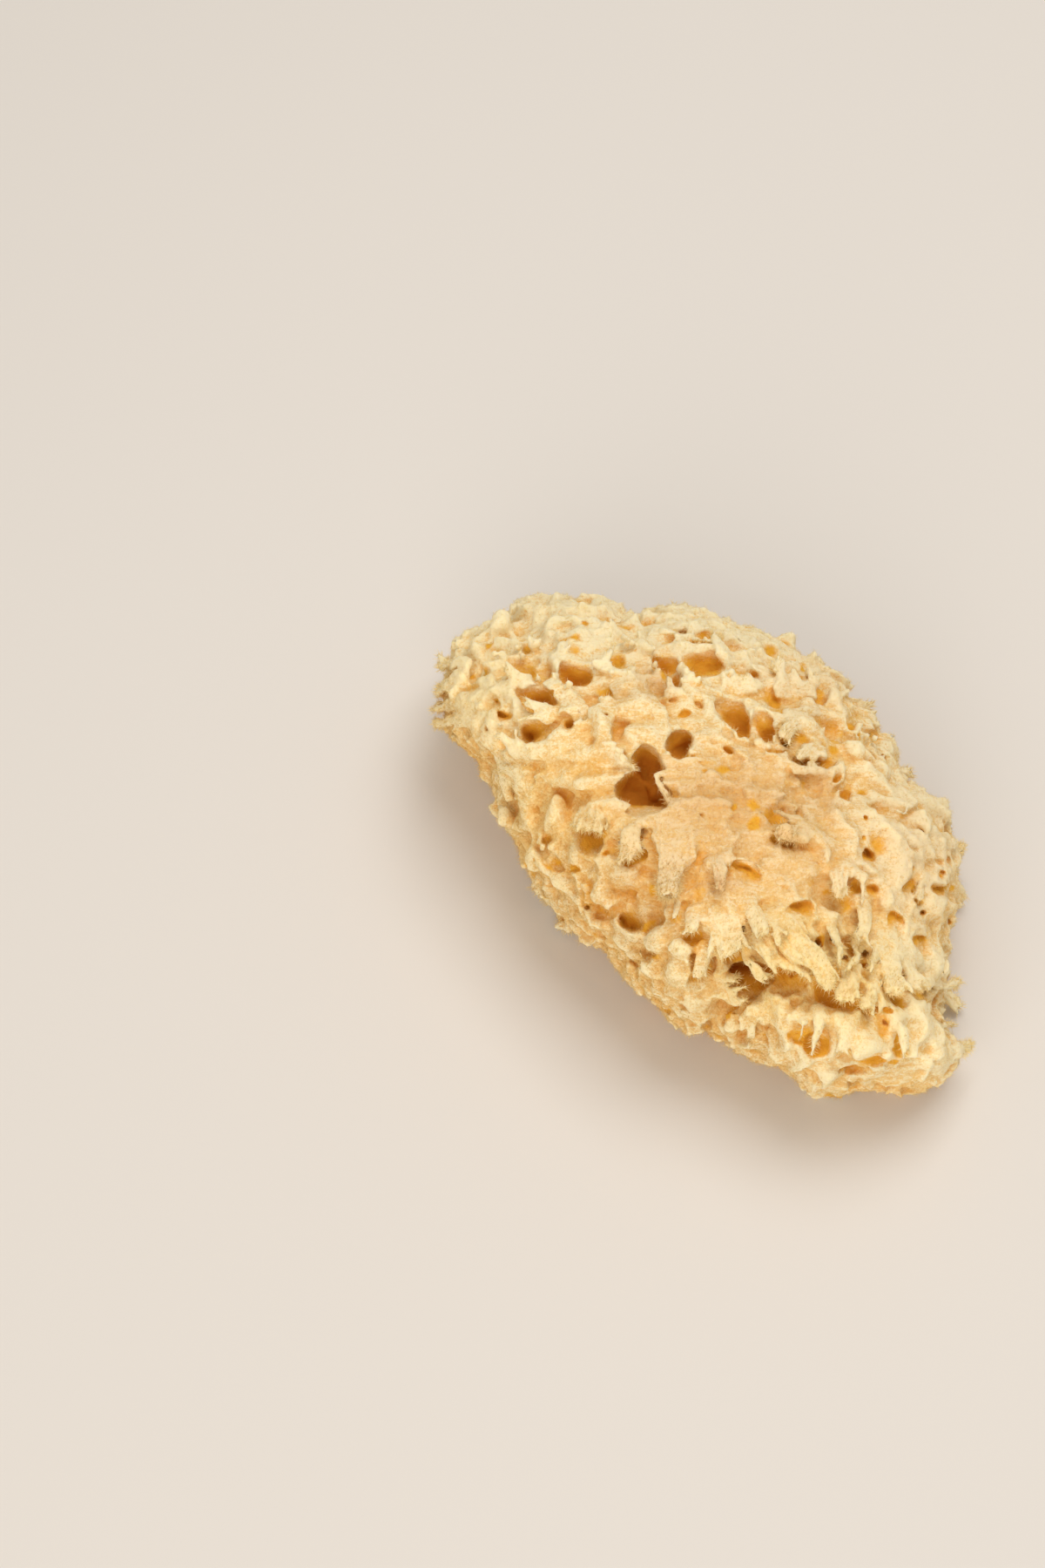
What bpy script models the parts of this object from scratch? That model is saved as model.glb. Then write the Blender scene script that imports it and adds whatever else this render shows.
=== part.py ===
"""A natural sea sponge that lies on the flat face where it was cut from the rock.

It is one solid: a rounded body with a shaggy face. The crown's open pores look up the face, and below them
flaps, fingers and tufts hang over deep hollows. The face is drawn in millimetres, across and up, as it looks
from a viewpoint in front of it, and a third number, out, is the distance from the drawing towards that viewpoint.
The origin is on the cut face. X runs across, Y runs away from the viewpoint, and Z is up.
"""

import math
import random

import bmesh
import bpy
import numpy as np
from mathutils import Matrix, Vector

MM = 0.001

# The drawing, and how it stands in space
FACE_RISE = math.radians(60)  # how steeply the face looks up
DRAWING_HEIGHT = 22.7  # the drawing's centre over the cut face
EYE_ACROSS = -53.0
EYE_UP = 17.0
EYE_DISTANCE = 1062.0

# The body
RIM_FALL = 0.364  # how far the rim draws back for each millimetre up the drawing
FACE_BULGE = 52.0
BACK_BULGE = 60.0
SIDE_ROUNDNESS = 2.4
TOP_ROUNDNESS = 2.2
RIM_STEPS = 132
ARC_STEPS = 30
LUMP_HEIGHT = 1.1
LUMP_LENGTHS = (19.0, 23.0, 17.0)

# The finished skin
SKIN_VOXEL = 1.15
TARGET_TRIANGLES = 9600
FLAT_REACH = 0.25  # points nearer the cut face than this lie on it
GROUND_SIDE = 400.0
SPONGE_COLOUR = (0.86, 0.62, 0.30, 1.0)

# The rim as it is drawn, clockwise from the upper left: across, up
OUTLINE = (
    (-58.8, 66.8), (-50.3, 71.0), (-42.5, 72.0), (-31.8, 71.3), (-19.8, 67.0), (-7.3, 69.0), (1.0, 67.3),
    (8.5, 62.5), (20.0, 58.5), (29.8, 53.8), (37.8, 48.8), (43.3, 42.3), (49.3, 35.3), (54.0, 25.0),
    (57.3, 17.5), (63.8, 13.5), (69.3, 11.5), (70.0, 4.5), (72.5, -1.0), (72.3, -15.5), (69.5, -24.3),
    (69.0, -33.0), (68.5, -40.5), (68.0, -48.0), (69.5, -54.0), (73.0, -59.0), (68.5, -68.0), (62.8, -70.8),
    (55.5, -72.5), (43.8, -71.3), (36.0, -73.5), (28.3, -71.5), (22.8, -64.3), (12.0, -60.3), (2.0, -55.3),
    (-6.8, -54.0), (-17.0, -46.8), (-24.8, -35.5), (-32.3, -28.5), (-46.5, -14.0), (-55.3, 1.3),
    (-62.0, 16.5), (-65.5, 24.0), (-74.5, 33.0), (-75.5, 41.8), (-74.5, 51.0), (-72.5, 58.5), (-66.0, 64.0),
)

# Broad swellings and valleys of the face: across, up, half width, half height, rise
SWELLS = (
    (-32.0, 46.0, 24.0, 20.0, 4.0),
    (-44.0, 2.0, 16.0, 14.0, -3.0),
    (-19.0, -15.0, 12.0, 11.0, -6.0),
    (14.5, -40.0, 15.0, 9.0, -9.0),
    (42.0, -28.0, 12.0, 8.0, -5.0),
    (50.0, -61.0, 18.0, 10.0, 5.0),
    (54.0, 12.0, 16.0, 14.0, 3.0),
)

# Pores and hollows of the face: across, up, half width, half height, turn in degrees, depth
PORES = (
    (-37.5, 48.3, 3.2, 3.4, 0, 12), (-27.5, 53.3, 3.0, 2.4, 0, 10), (-11.8, 51.5, 3.6, 3.2, 0, 10),
    (-1.3, 51.5, 4.6, 3.6, 0, 12), (-67.0, 49.0, 2.8, 1.6, 0, 7), (-51.5, 58.5, 3.2, 2.4, 0, 7),
    (-50.3, 43.5, 5.6, 3.0, -35, 11), (-49.3, 33.0, 2.7, 3.2, 0, 9), (-60.0, 55.5, 1.8, 1.6, 0, 4),
    (-37.8, 55.3, 1.9, 1.6, 0, 4), (0.3, 60.8, 3.2, 1.6, 0, 5), (-7.0, 27.8, 2.6, 3.0, 0, 9),
    (-6.3, 36.3, 1.6, 1.6, 0, 5), (-18.3, 25.0, 3.4, 3.4, 0, 15), (-16.5, 14.8, 7.5, 6.5, 0, 20),
    (-23.5, 16.3, 3.2, 3.0, 0, 12), (-68.5, 41.8, 2.6, 2.0, 0, 4), (-68.0, 37.0, 3.2, 1.6, 0, 4),
    (8.5, 37.0, 3.6, 4.8, 0, 11), (17.3, 34.3, 2.4, 3.2, 0, 9), (17.8, 42.3, 3.4, 2.6, -25, 8),
    (10.8, 49.3, 3.4, 1.5, 0, 5), (32.5, 44.5, 2.6, 2.0, 0, 5), (41.0, 35.8, 1.7, 1.9, 0, 4),
    (4.8, 25.8, 1.6, 1.6, 0, 6), (29.3, 24.0, 6.0, 2.0, -8, 8), (40.5, 15.8, 2.3, 2.6, 0, 6),
    (45.5, -4.0, 2.2, 2.8, 0, 6), (33.3, -12.3, 2.6, 1.8, 0, 4), (41.8, -12.8, 2.2, 3.0, 0, 6),
    (60.0, -11.8, 2.4, 1.8, 0, 3), (27.3, -21.8, 5.0, 3.6, 0, 6), (32.3, -29.0, 1.7, 2.4, 0, 7),
    (39.8, -29.3, 1.9, 4.4, 20, 8), (46.0, -30.3, 2.0, 3.4, -20, 8), (4.3, -18.5, 7.5, 1.6, -58, 8),
    (11.0, -39.5, 6.5, 4.5, 0, 9), (21.0, -39.5, 4.0, 5.0, 0, 7), (27.8, -50.8, 2.0, 2.0, 0, 8),
    (49.0, -63.5, 5.0, 1.6, -10, 4), (-38.0, -6.5, 1.6, 1.6, 0, 6), (-45.0, 1.3, 1.8, 2.0, 0, 5),
    (-21.5, -21.8, 3.0, 2.4, 0, 4), (-12.0, -47.8, 1.6, 1.6, 0, 5), (-24.8, 43.5, 2.6, 2.0, 0, 3),
    (58.5, -24.3, 3.0, 2.4, 0, 3), (62.0, -43.0, 2.4, 2.0, 0, 3), (52.0, -49.3, 2.0, 1.8, 0, 3),
    (-50.5, 22.5, 6.0, 1.7, -38, 6), (-41.0, 16.3, 5.5, 1.7, -12, 6), (-31.0, 16.0, 5.0, 1.7, 6, 6),
    (24.5, 31.5, 4.0, 1.6, -20, 6), (2.5, 56.0, 4.0, 1.8, 0, 5), (-20.0, 58.0, 2.4, 2.0, 0, 4),
    (37.5, 31.0, 2.2, 1.8, 0, 4), (-64.0, 56.0, 2.2, 2.0, 0, 4), (-57.5, 37.0, 2.4, 2.0, 0, 5),
)

# Flaps, fingers and tufts of the face: root across, root up, tip across, tip up, width, lift of the tip
TUFTS = (
    (-8.5, 6.0, -10.3, -15.0, 9.0, 8.0), (-22.5, 6.5, -21.0, -2.5, 8.0, 4.0), (-43.0, 9.5, -41.8, 2.5, 7.0, 3.0),
    (-30.5, 11.5, -35.0, 2.5, 7.5, 3.5), (-3.0, -10.5, -4.3, -27.0, 9.0, 4.0), (-6.5, -14.5, -8.0, -22.5, 3.5, 3.0),
    (0.8, -13.0, 6.5, -32.5, 13.0, 6.0), (9.5, -13.0, 20.5, -26.5, 9.0, 4.5), (10.8, -22.0, 20.3, -35.0, 6.0, 6.0),
    (5.8, -26.0, 18.0, -38.5, 6.0, 6.0), (21.0, -20.0, 35.5, -41.0, 8.5, 7.0), (39.0, -6.0, 38.5, -14.8, 6.0, 4.0),
    (35.5, -20.5, 36.8, -36.3, 4.0, 7.0), (45.0, -18.5, 39.0, -36.8, 4.0, 7.0), (48.3, -25.0, 45.5, -34.0, 3.5, 5.0),
    (40.8, -31.0, 40.8, -44.0, 6.5, 4.0), (47.0, -34.0, 47.0, -47.5, 5.5, 4.0), (50.8, -28.5, 55.3, -43.5, 7.0, 4.0),
    (33.3, -47.0, 31.5, -58.0, 7.0, 3.5), (6.5, -36.8, 9.0, -45.5, 5.5, 3.0), (-66.0, 33.5, -77.0, 34.8, 5.5, 1.0),
    (-65.0, 39.0, -76.5, 40.0, 4.0, 1.0), (-67.0, 52.0, -78.0, 50.5, 3.0, 1.0), (-61.0, 61.0, -63.0, 69.5, 3.5, 1.0),
    (-53.0, 20.5, -60.0, 22.8, 5.0, 3.0), (65.0, -59.5, 75.5, -58.8, 7.0, 0.0), (64.0, -51.5, 72.0, -52.3, 3.5, 0.0),
    (63.0, -38.5, 70.5, -39.5, 4.0, 0.0), (66.0, 1.0, 74.0, -1.0, 5.0, 0.0), (18.8, 8.0, 23.8, 0.0, 5.5, 3.0),
    (-12.5, 41.5, -12.8, 48.0, 4.0, 2.5), (20.5, 44.0, 19.0, 51.0, 6.0, 2.5), (30.0, 41.0, 27.0, 50.0, 8.0, 2.5),
    (-57.0, 47.0, -63.5, 51.5, 5.0, 2.5), (-44.0, 40.0, -51.0, 37.5, 5.0, 3.0), (-31.0, 50.0, -32.0, 56.0, 4.5, 2.5),
    (-22.0, 24.0, -28.5, 22.0, 6.0, 3.0), (-47.0, 20.0, -56.0, 28.5, 7.0, 3.0), (56.0, 2.0, 58.0, -8.0, 7.0, 2.5),
    (62.0, -28.0, 60.0, -36.0, 6.0, 2.5),
)

# The shaggy flank between the rim and the cut face
FLANK_SEED = 11
FLANK_PORES = 70
FLANK_TUFTS = 84
FLANK_LOWEST = 4.0
FLANK_HIGHEST_ARC = -7.0  # degrees behind the rim

# Blunt knobs all over, and small pits on the face
KNOB_SEED = 23
KNOBS = 230
PIT_SEED = 37
PITS = 90

ACROSS = Vector((1.0, 0.0, 0.0))
UP = Vector((0.0, math.sin(FACE_RISE), math.cos(FACE_RISE)))
OUT = Vector((0.0, -math.cos(FACE_RISE), math.sin(FACE_RISE)))

outline_angles = np.array([math.atan2(up, across) for across, up in OUTLINE])
outline_radii = np.array([math.hypot(across, up) for across, up in OUTLINE])


def place(across, up, out):
    """The point in space, in metres, of a drawn point at this distance out: drawn things shrink towards the eye."""
    shrink = (EYE_DISTANCE - out) / EYE_DISTANCE
    point = ACROSS * (EYE_ACROSS + (across - EYE_ACROSS) * shrink)
    point += UP * (EYE_UP + (up - EYE_UP) * shrink) + OUT * out
    return (point + Vector((0.0, 0.0, DRAWING_HEIGHT))) * MM


def rim_radius(angle):
    return float(np.interp(angle, outline_angles, outline_radii, period=2 * math.pi))


def swell(across, up):
    total = 0.0
    for at_across, at_up, half_width, half_height, rise in SWELLS:
        total += rise * math.exp(-(((across - at_across) / half_width) ** 2) - ((up - at_up) / half_height) ** 2)
    return total


def face_out(across, up):
    """How far out the face stands at a drawn point."""
    share = min(1.0, math.hypot(across, up) / rim_radius(math.atan2(up, across)))
    dome = (1.0 - share**SIDE_ROUNDNESS) ** (1.0 / TOP_ROUNDNESS)
    return -RIM_FALL * up + FACE_BULGE * dome + swell(across, up) * dome


def body_point(angle, arc):
    """A point of the body at an angle round the rim and an arc over it, from -90 degrees at the back to 90."""
    share = math.cos(arc) ** (2.0 / SIDE_ROUNDNESS)
    rise = math.copysign(abs(math.sin(arc)) ** (2.0 / TOP_ROUNDNESS), arc)
    radius = rim_radius(angle) * share
    across, up = radius * math.cos(angle), radius * math.sin(angle)
    if arc > 0:
        return place(across, up, -RIM_FALL * up + (FACE_BULGE + swell(across, up)) * rise)
    return place(across, up, -RIM_FALL * up + BACK_BULGE * rise)


def lump(point):
    """Low, even lumps all over the body: a product of three waves."""
    waves = [math.sin(2 * math.pi * c / (MM * length)) for c, length in zip(point, LUMP_LENGTHS)]
    return LUMP_HEIGHT * MM * waves[0] * waves[1] * waves[2] * 2.0


def add_body(bm):
    """The body: rings of the rim's outline that close to a pole in front and behind."""
    rings = []
    for i in range(1, ARC_STEPS):
        arc = math.pi * (i / ARC_STEPS - 0.5)
        angles = [2 * math.pi * k / RIM_STEPS for k in range(RIM_STEPS)]
        rings.append([bm.verts.new(body_point(angle, arc)) for angle in angles])
    for low, high in zip(rings, rings[1:]):
        for k in range(RIM_STEPS):
            after = (k + 1) % RIM_STEPS
            bm.faces.new((low[k], low[after], high[after], high[k]))
    for ring, arc, turned in ((rings[0], -math.pi / 2, True), (rings[-1], math.pi / 2, False)):
        pole = bm.verts.new(body_point(0.0, arc))
        for k in range(RIM_STEPS):
            pair = (ring[k], ring[(k + 1) % RIM_STEPS])
            bm.faces.new((*(reversed(pair) if turned else pair), pole))
    bm.normal_update()
    for vert, move in [(v, v.normal * lump(v.co)) for v in bm.verts]:
        vert.co += move


def add_sleeve(bm, points, across_axis, widths, thicknesses, sides=8):
    """A closed sleeve of elliptic rings along the points, for a tuft, or as the shape of a pore."""
    rings = []
    for i, point in enumerate(points):
        ahead = points[min(i + 1, len(points) - 1)] - points[max(i - 1, 0)]
        along = ahead.normalized()
        wide = (across_axis - along * across_axis.dot(along)).normalized()
        thin = along.cross(wide)
        ring = []
        for k in range(sides):
            turn = 2 * math.pi * k / sides
            offset = wide * (math.cos(turn) * widths[i]) + thin * (math.sin(turn) * thicknesses[i])
            ring.append(bm.verts.new(point + offset * MM))
        rings.append(ring)
    for first, second in zip(rings, rings[1:]):
        for k in range(sides):
            after = (k + 1) % sides
            bm.faces.new((first[k], first[after], second[after], second[k]))
    bm.faces.new(tuple(reversed(rings[0])))
    bm.faces.new(tuple(rings[-1]))


def add_tuft(bm, root, tip, arch, wide_axis, width):
    """A tuft that grows from its root, arches and narrows to a blunt tip."""
    points = []
    widths = []
    for i in range(6):
        t = i / 5
        points.append(root.lerp(tip, t) + arch * (4 * t * (1 - t)))
        widths.append(width * 0.5 * (1.0 - 0.55 * t**1.5))
    add_sleeve(bm, points, wide_axis, widths, [max(1.0, w * 0.62) for w in widths])


def add_pore(bm, mouth, inward, wide_axis, half_width, half_height, depth):
    """The hollow of a pore: a mouth that flares a little, and a channel that narrows inwards."""
    points = []
    sizes = []
    for along, size in ((-4.0, 1.25), (0.0, 1.0), (0.4 * depth, 0.85), (0.8 * depth, 0.6), (depth, 0.25)):
        points.append(mouth + inward * (along * MM))
        sizes.append(size)
    add_sleeve(bm, points, wide_axis, [half_width * s for s in sizes], [half_height * s for s in sizes])


def add_face_tufts(bm):
    for root_across, root_up, tip_across, tip_up, width, lift in TUFTS:
        root = place(root_across, root_up, face_out(root_across, root_up) - 2.5)
        tip = place(tip_across, tip_up, face_out(tip_across, tip_up) + lift - 0.5)
        along = (tip - root).normalized()
        add_tuft(bm, root, tip, OUT * (1.5 * MM), along.cross(OUT), width)


def add_face_pores(bm):
    """Pores of the crown lead down into the body, and the hollows of the lower face lead up."""
    for across, up, half_width, half_height, turn, depth in PORES:
        lean = -0.45 if up > 20 else 0.3
        inward = (UP * lean - OUT).normalized()
        mouth = place(across, up, face_out(across, up))
        wide_axis = Matrix.Rotation(math.radians(turn), 3, OUT) @ ACROSS
        add_pore(bm, mouth, inward, wide_axis, half_width, half_height, depth)


def body_frame(angle, arc):
    """A point of the body, its normal, and the direction over the body towards the face's pole."""
    point = body_point(angle, arc)
    around = body_point(angle + 0.01, arc) - point
    over = body_point(angle, arc + 0.01) - point
    return point, around.cross(over).normalized(), over.normalized()


def flank_place(rng):
    """A random point of the flank, with its normal and the direction down along the skin."""
    while True:
        angle = rng.uniform(0.0, 2 * math.pi)
        arc = math.radians(rng.uniform(-60.0, FLANK_HIGHEST_ARC))
        point, normal, over = body_frame(angle, arc)
        if point.z > FLANK_LOWEST * MM:
            return point, normal, -over


def add_flank_tufts(bm, rng):
    """Short broad tufts that lie along the flank and lift a little at their tips."""
    for _ in range(FLANK_TUFTS):
        point, normal, down = flank_place(rng)
        length = rng.uniform(6.0, 11.0) * MM
        side = normal.cross(down)
        along = (down * rng.uniform(0.2, 1.0) + side * rng.uniform(-0.8, 0.8) + normal * 0.22).normalized()
        root = point - normal * (2.0 * MM)
        add_tuft(bm, root, root + along * length, normal * (1.4 * MM), along.cross(normal), rng.uniform(6.0, 10.0))


def add_knobs(bm, rng):
    """Blunt knobs spread over the body, face and flank alike, each a low mound with a crooked top."""
    for _ in range(KNOBS):
        angle = rng.uniform(0.0, 2 * math.pi)
        point, normal, over = body_frame(angle, math.asin(rng.uniform(-0.75, 0.97)))
        lean = normal.cross(over) * rng.uniform(-0.5, 0.5) - over * rng.uniform(0.0, 0.9)
        tip = point + (normal + lean).normalized() * (rng.uniform(1.2, 3.0) * MM)
        root = point - normal * (3.0 * MM)
        add_tuft(bm, root, tip, Vector(), normal.cross(lean), rng.uniform(5.5, 10.0))


def add_flank_pores(bm, rng):
    for _ in range(FLANK_PORES):
        point, normal, down = flank_place(rng)
        half = rng.uniform(1.6, 3.4)
        inward = (down * rng.uniform(-0.4, 0.4) - normal).normalized()
        add_pore(bm, point, inward, normal.cross(down), half, half * rng.uniform(0.6, 1.1), rng.uniform(4.0, 9.0))


def add_pits(bm, rng):
    """Small pits between the face's own pores, down over the rim."""
    for _ in range(PITS):
        angle = rng.uniform(0.0, 2 * math.pi)
        point, normal, over = body_frame(angle, math.asin(rng.uniform(-0.1, 0.97)))
        half = rng.uniform(1.2, 2.4)
        inward = (over * rng.uniform(-0.6, 0.2) - normal).normalized()
        add_pore(bm, point, inward, normal.cross(over), half, half * rng.uniform(0.6, 1.1), rng.uniform(3.0, 6.0))


def helper(name, bm):
    """A mesh object that only takes part in the making."""
    bmesh.ops.recalc_face_normals(bm, faces=bm.faces)
    mesh = bpy.data.meshes.new(name)
    bm.to_mesh(mesh)
    bm.free()
    made = bpy.data.objects.new(name, mesh)
    made.hide_render = True
    made.display_type = "WIRE"
    bpy.context.scene.collection.objects.link(made)
    return made


def add_remesh(obj):
    """Fuses what overlaps into one even skin."""
    modifier = obj.modifiers.new("fuse", "REMESH")
    modifier.mode = "VOXEL"
    modifier.voxel_size = SKIN_VOXEL * MM


def add_cut(obj, cutter):
    modifier = obj.modifiers.new("cut " + cutter.name, "BOOLEAN")
    modifier.operation = "DIFFERENCE"
    modifier.object = cutter


def shape_of(obj):
    """The object's mesh with its modifiers applied."""
    bpy.context.view_layer.update()
    graph = bpy.context.evaluated_depsgraph_get()
    return bpy.data.meshes.new_from_object(obj.evaluated_get(graph))


def keep_largest_piece(mesh):
    """Drops the crumbs that the cuts leave, and any sealed hollow."""
    bm = bmesh.new()
    bm.from_mesh(mesh)
    left = set(bm.verts)
    pieces = []
    while left:
        stack = [left.pop()]
        piece = set(stack)
        while stack:
            for edge in stack.pop().link_edges:
                for vert in edge.verts:
                    if vert in left:
                        left.discard(vert)
                        piece.add(vert)
                        stack.append(vert)
        pieces.append(piece)
    pieces.sort(key=len)
    for piece in pieces[:-1]:
        bmesh.ops.delete(bm, geom=list(piece), context="VERTS")
    bm.to_mesh(mesh)
    bm.free()


def make_ground():
    """A block whose top is the plane of the cut face."""
    block = bmesh.new()
    bmesh.ops.create_cube(block, size=GROUND_SIDE * MM)
    bmesh.ops.translate(block, verts=block.verts, vec=(0.0, 0.0, -GROUND_SIDE * MM / 2))
    return helper("ground", block)


def make_skin():
    """The body with its tufts, less its pores and what lay below the cut face, as one even mesh."""
    flank_rng = random.Random(FLANK_SEED)
    grown = bmesh.new()
    add_body(grown)
    add_face_tufts(grown)
    add_flank_tufts(grown, flank_rng)
    add_knobs(grown, random.Random(KNOB_SEED))
    body = helper("grown body", grown)
    add_remesh(body)
    hollow = bmesh.new()
    add_face_pores(hollow)
    add_flank_pores(hollow, flank_rng)
    add_pits(hollow, random.Random(PIT_SEED))
    pores = helper("pores", hollow)
    add_remesh(pores)
    add_cut(body, pores)
    add_cut(body, make_ground())
    add_remesh(body)
    return shape_of(body)


def triangle_count(mesh):
    mesh.calc_loop_triangles()
    return len(mesh.loop_triangles)


def sponge_material():
    material = bpy.data.materials.new("sponge")
    material.use_nodes = True
    shader = material.node_tree.nodes["Principled BSDF"]
    shader.inputs["Base Color"].default_value = SPONGE_COLOUR
    shader.inputs["Roughness"].default_value = 0.9
    shader.inputs["Metallic"].default_value = 0.0
    return material


def flatten_cut_face(mesh):
    """Puts every point that thinning left near the plane of the cut face exactly on it."""
    for vert in mesh.vertices:
        if vert.co.z < FLAT_REACH * MM:
            vert.co.z = 0.0


def make_sponge():
    """The sponge: its skin thinned to few faces, flat where it was cut."""
    skin = make_skin()
    keep_largest_piece(skin)
    sponge = bpy.data.objects.new("sponge", skin)
    bpy.context.scene.collection.objects.link(sponge)
    thin = sponge.modifiers.new("thin", "DECIMATE")
    thin.ratio = TARGET_TRIANGLES / triangle_count(skin)
    thinned = shape_of(sponge)
    sponge.modifiers.clear()
    flatten_cut_face(thinned)
    sponge.data = thinned
    sponge.data.materials.clear()
    sponge.data.materials.append(sponge_material())
    sponge.data.shade_smooth()
    sponge.data.set_sharp_from_angle(angle=math.radians(50))


for old in list(bpy.data.objects):
    bpy.data.objects.remove(old)
make_sponge()
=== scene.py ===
"""Dresses the sea sponge: a fine skin grown as one closed surface, felt hairs, torn fringes and a studio.

Lengths in the shape functions are in millimetres, in the frame of the sponge's solid. The face is drawn
across and up, as it looks from the camera, and a third number, out, is the distance from the drawing towards
the camera.
"""

import math

import bpy
import numpy as np
from bpy.props import FloatProperty, FloatVectorProperty, IntProperty, PointerProperty
from mathutils import Matrix, Vector


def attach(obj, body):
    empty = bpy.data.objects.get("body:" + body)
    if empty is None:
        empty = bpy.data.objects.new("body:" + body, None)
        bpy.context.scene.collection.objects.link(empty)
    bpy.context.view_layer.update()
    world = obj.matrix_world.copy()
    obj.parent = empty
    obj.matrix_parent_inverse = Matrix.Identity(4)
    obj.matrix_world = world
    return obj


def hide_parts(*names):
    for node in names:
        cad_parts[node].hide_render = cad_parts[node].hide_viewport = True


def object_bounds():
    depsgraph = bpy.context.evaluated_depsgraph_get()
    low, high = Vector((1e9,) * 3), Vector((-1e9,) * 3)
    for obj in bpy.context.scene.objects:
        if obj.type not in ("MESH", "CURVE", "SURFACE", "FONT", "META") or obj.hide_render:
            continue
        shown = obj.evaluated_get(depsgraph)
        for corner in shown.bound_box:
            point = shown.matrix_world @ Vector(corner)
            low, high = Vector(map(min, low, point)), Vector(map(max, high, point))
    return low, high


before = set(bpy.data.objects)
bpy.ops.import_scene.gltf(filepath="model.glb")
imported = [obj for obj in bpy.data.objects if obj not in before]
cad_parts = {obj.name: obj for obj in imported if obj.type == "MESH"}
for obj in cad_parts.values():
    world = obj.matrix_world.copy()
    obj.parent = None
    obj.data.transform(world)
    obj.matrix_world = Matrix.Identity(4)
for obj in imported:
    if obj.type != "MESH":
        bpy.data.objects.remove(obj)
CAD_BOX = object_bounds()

bl_info = {
    "name": "Sea sponge",
    "version": (1, 0, 0),
    "blender": (4, 5, 0),
    "location": "3D View > Sidebar > Sponge",
    "description": "Grows the skin, fringes and felt of a natural sea sponge, and sets up its studio",
    "category": "Object",
}

MM = 0.001
BODY = "root"
SOLID = "sponge"
SKIN = "sponge_skin"

# The drawing, and how it stands in space
FACE_RISE = math.radians(60)
DRAWING_HEIGHT = 22.7
EYE_ACROSS = -53.0
EYE_UP = 17.0
EYE_DISTANCE = 1062.0
ACROSS = np.array((1.0, 0.0, 0.0))
UP = np.array((0.0, math.sin(FACE_RISE), math.cos(FACE_RISE)))
OUT = np.array((0.0, -math.cos(FACE_RISE), math.sin(FACE_RISE)))

# How far the cells reach past the solid's box, and how near the cut face a point is laid on it
GRID_MARGIN = 4.5
CUT_FACE_REACH = 0.25

# The body
RIM_FALL = 0.364
FACE_BULGE = 52.0
BACK_BULGE = 60.0
SIDE_ROUNDNESS = 2.4
TOP_ROUNDNESS = 2.2

# The rim as it is drawn, clockwise from the upper left: across, up
OUTLINE = (
    (-58.8, 66.8), (-50.3, 71.0), (-42.5, 72.0), (-31.8, 71.3), (-19.8, 67.0), (-7.3, 69.0), (1.0, 67.3),
    (8.5, 62.5), (20.0, 58.5), (29.8, 53.8), (37.8, 48.8), (43.3, 42.3), (49.3, 35.3), (54.0, 25.0),
    (57.3, 17.5), (63.8, 13.5), (69.3, 11.5), (70.0, 4.5), (72.5, -1.0), (72.3, -15.5), (69.5, -24.3),
    (69.0, -33.0), (68.5, -40.5), (68.0, -48.0), (69.5, -54.0), (73.0, -59.0), (68.5, -68.0),
    (62.8, -70.8), (55.5, -72.5), (43.8, -71.3), (36.0, -73.5), (28.3, -71.5), (22.8, -64.3),
    (12.0, -60.3), (2.0, -55.3), (-6.8, -54.0), (-17.0, -46.8), (-24.8, -35.5), (-32.3, -28.5),
    (-46.5, -14.0), (-55.3, 1.3), (-62.0, 16.5), (-65.5, 24.0), (-74.5, 33.0), (-75.5, 41.8),
    (-74.5, 51.0), (-72.5, 58.5), (-66.0, 64.0),
)

# Broad swellings and valleys of the face: across, up, half width, half height, rise
SWELLS = (
    (-32.0, 46.0, 24.0, 20.0, 4.0), (-44.0, 2.0, 16.0, 14.0, -3.0), (-19.0, -15.0, 12.0, 11.0, -6.0),
    (14.5, -40.0, 15.0, 9.0, -9.0), (42.0, -28.0, 12.0, 8.0, -5.0), (50.0, -61.0, 18.0, 10.0, 5.0),
    (54.0, 12.0, 16.0, 14.0, 3.0),
)

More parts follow.
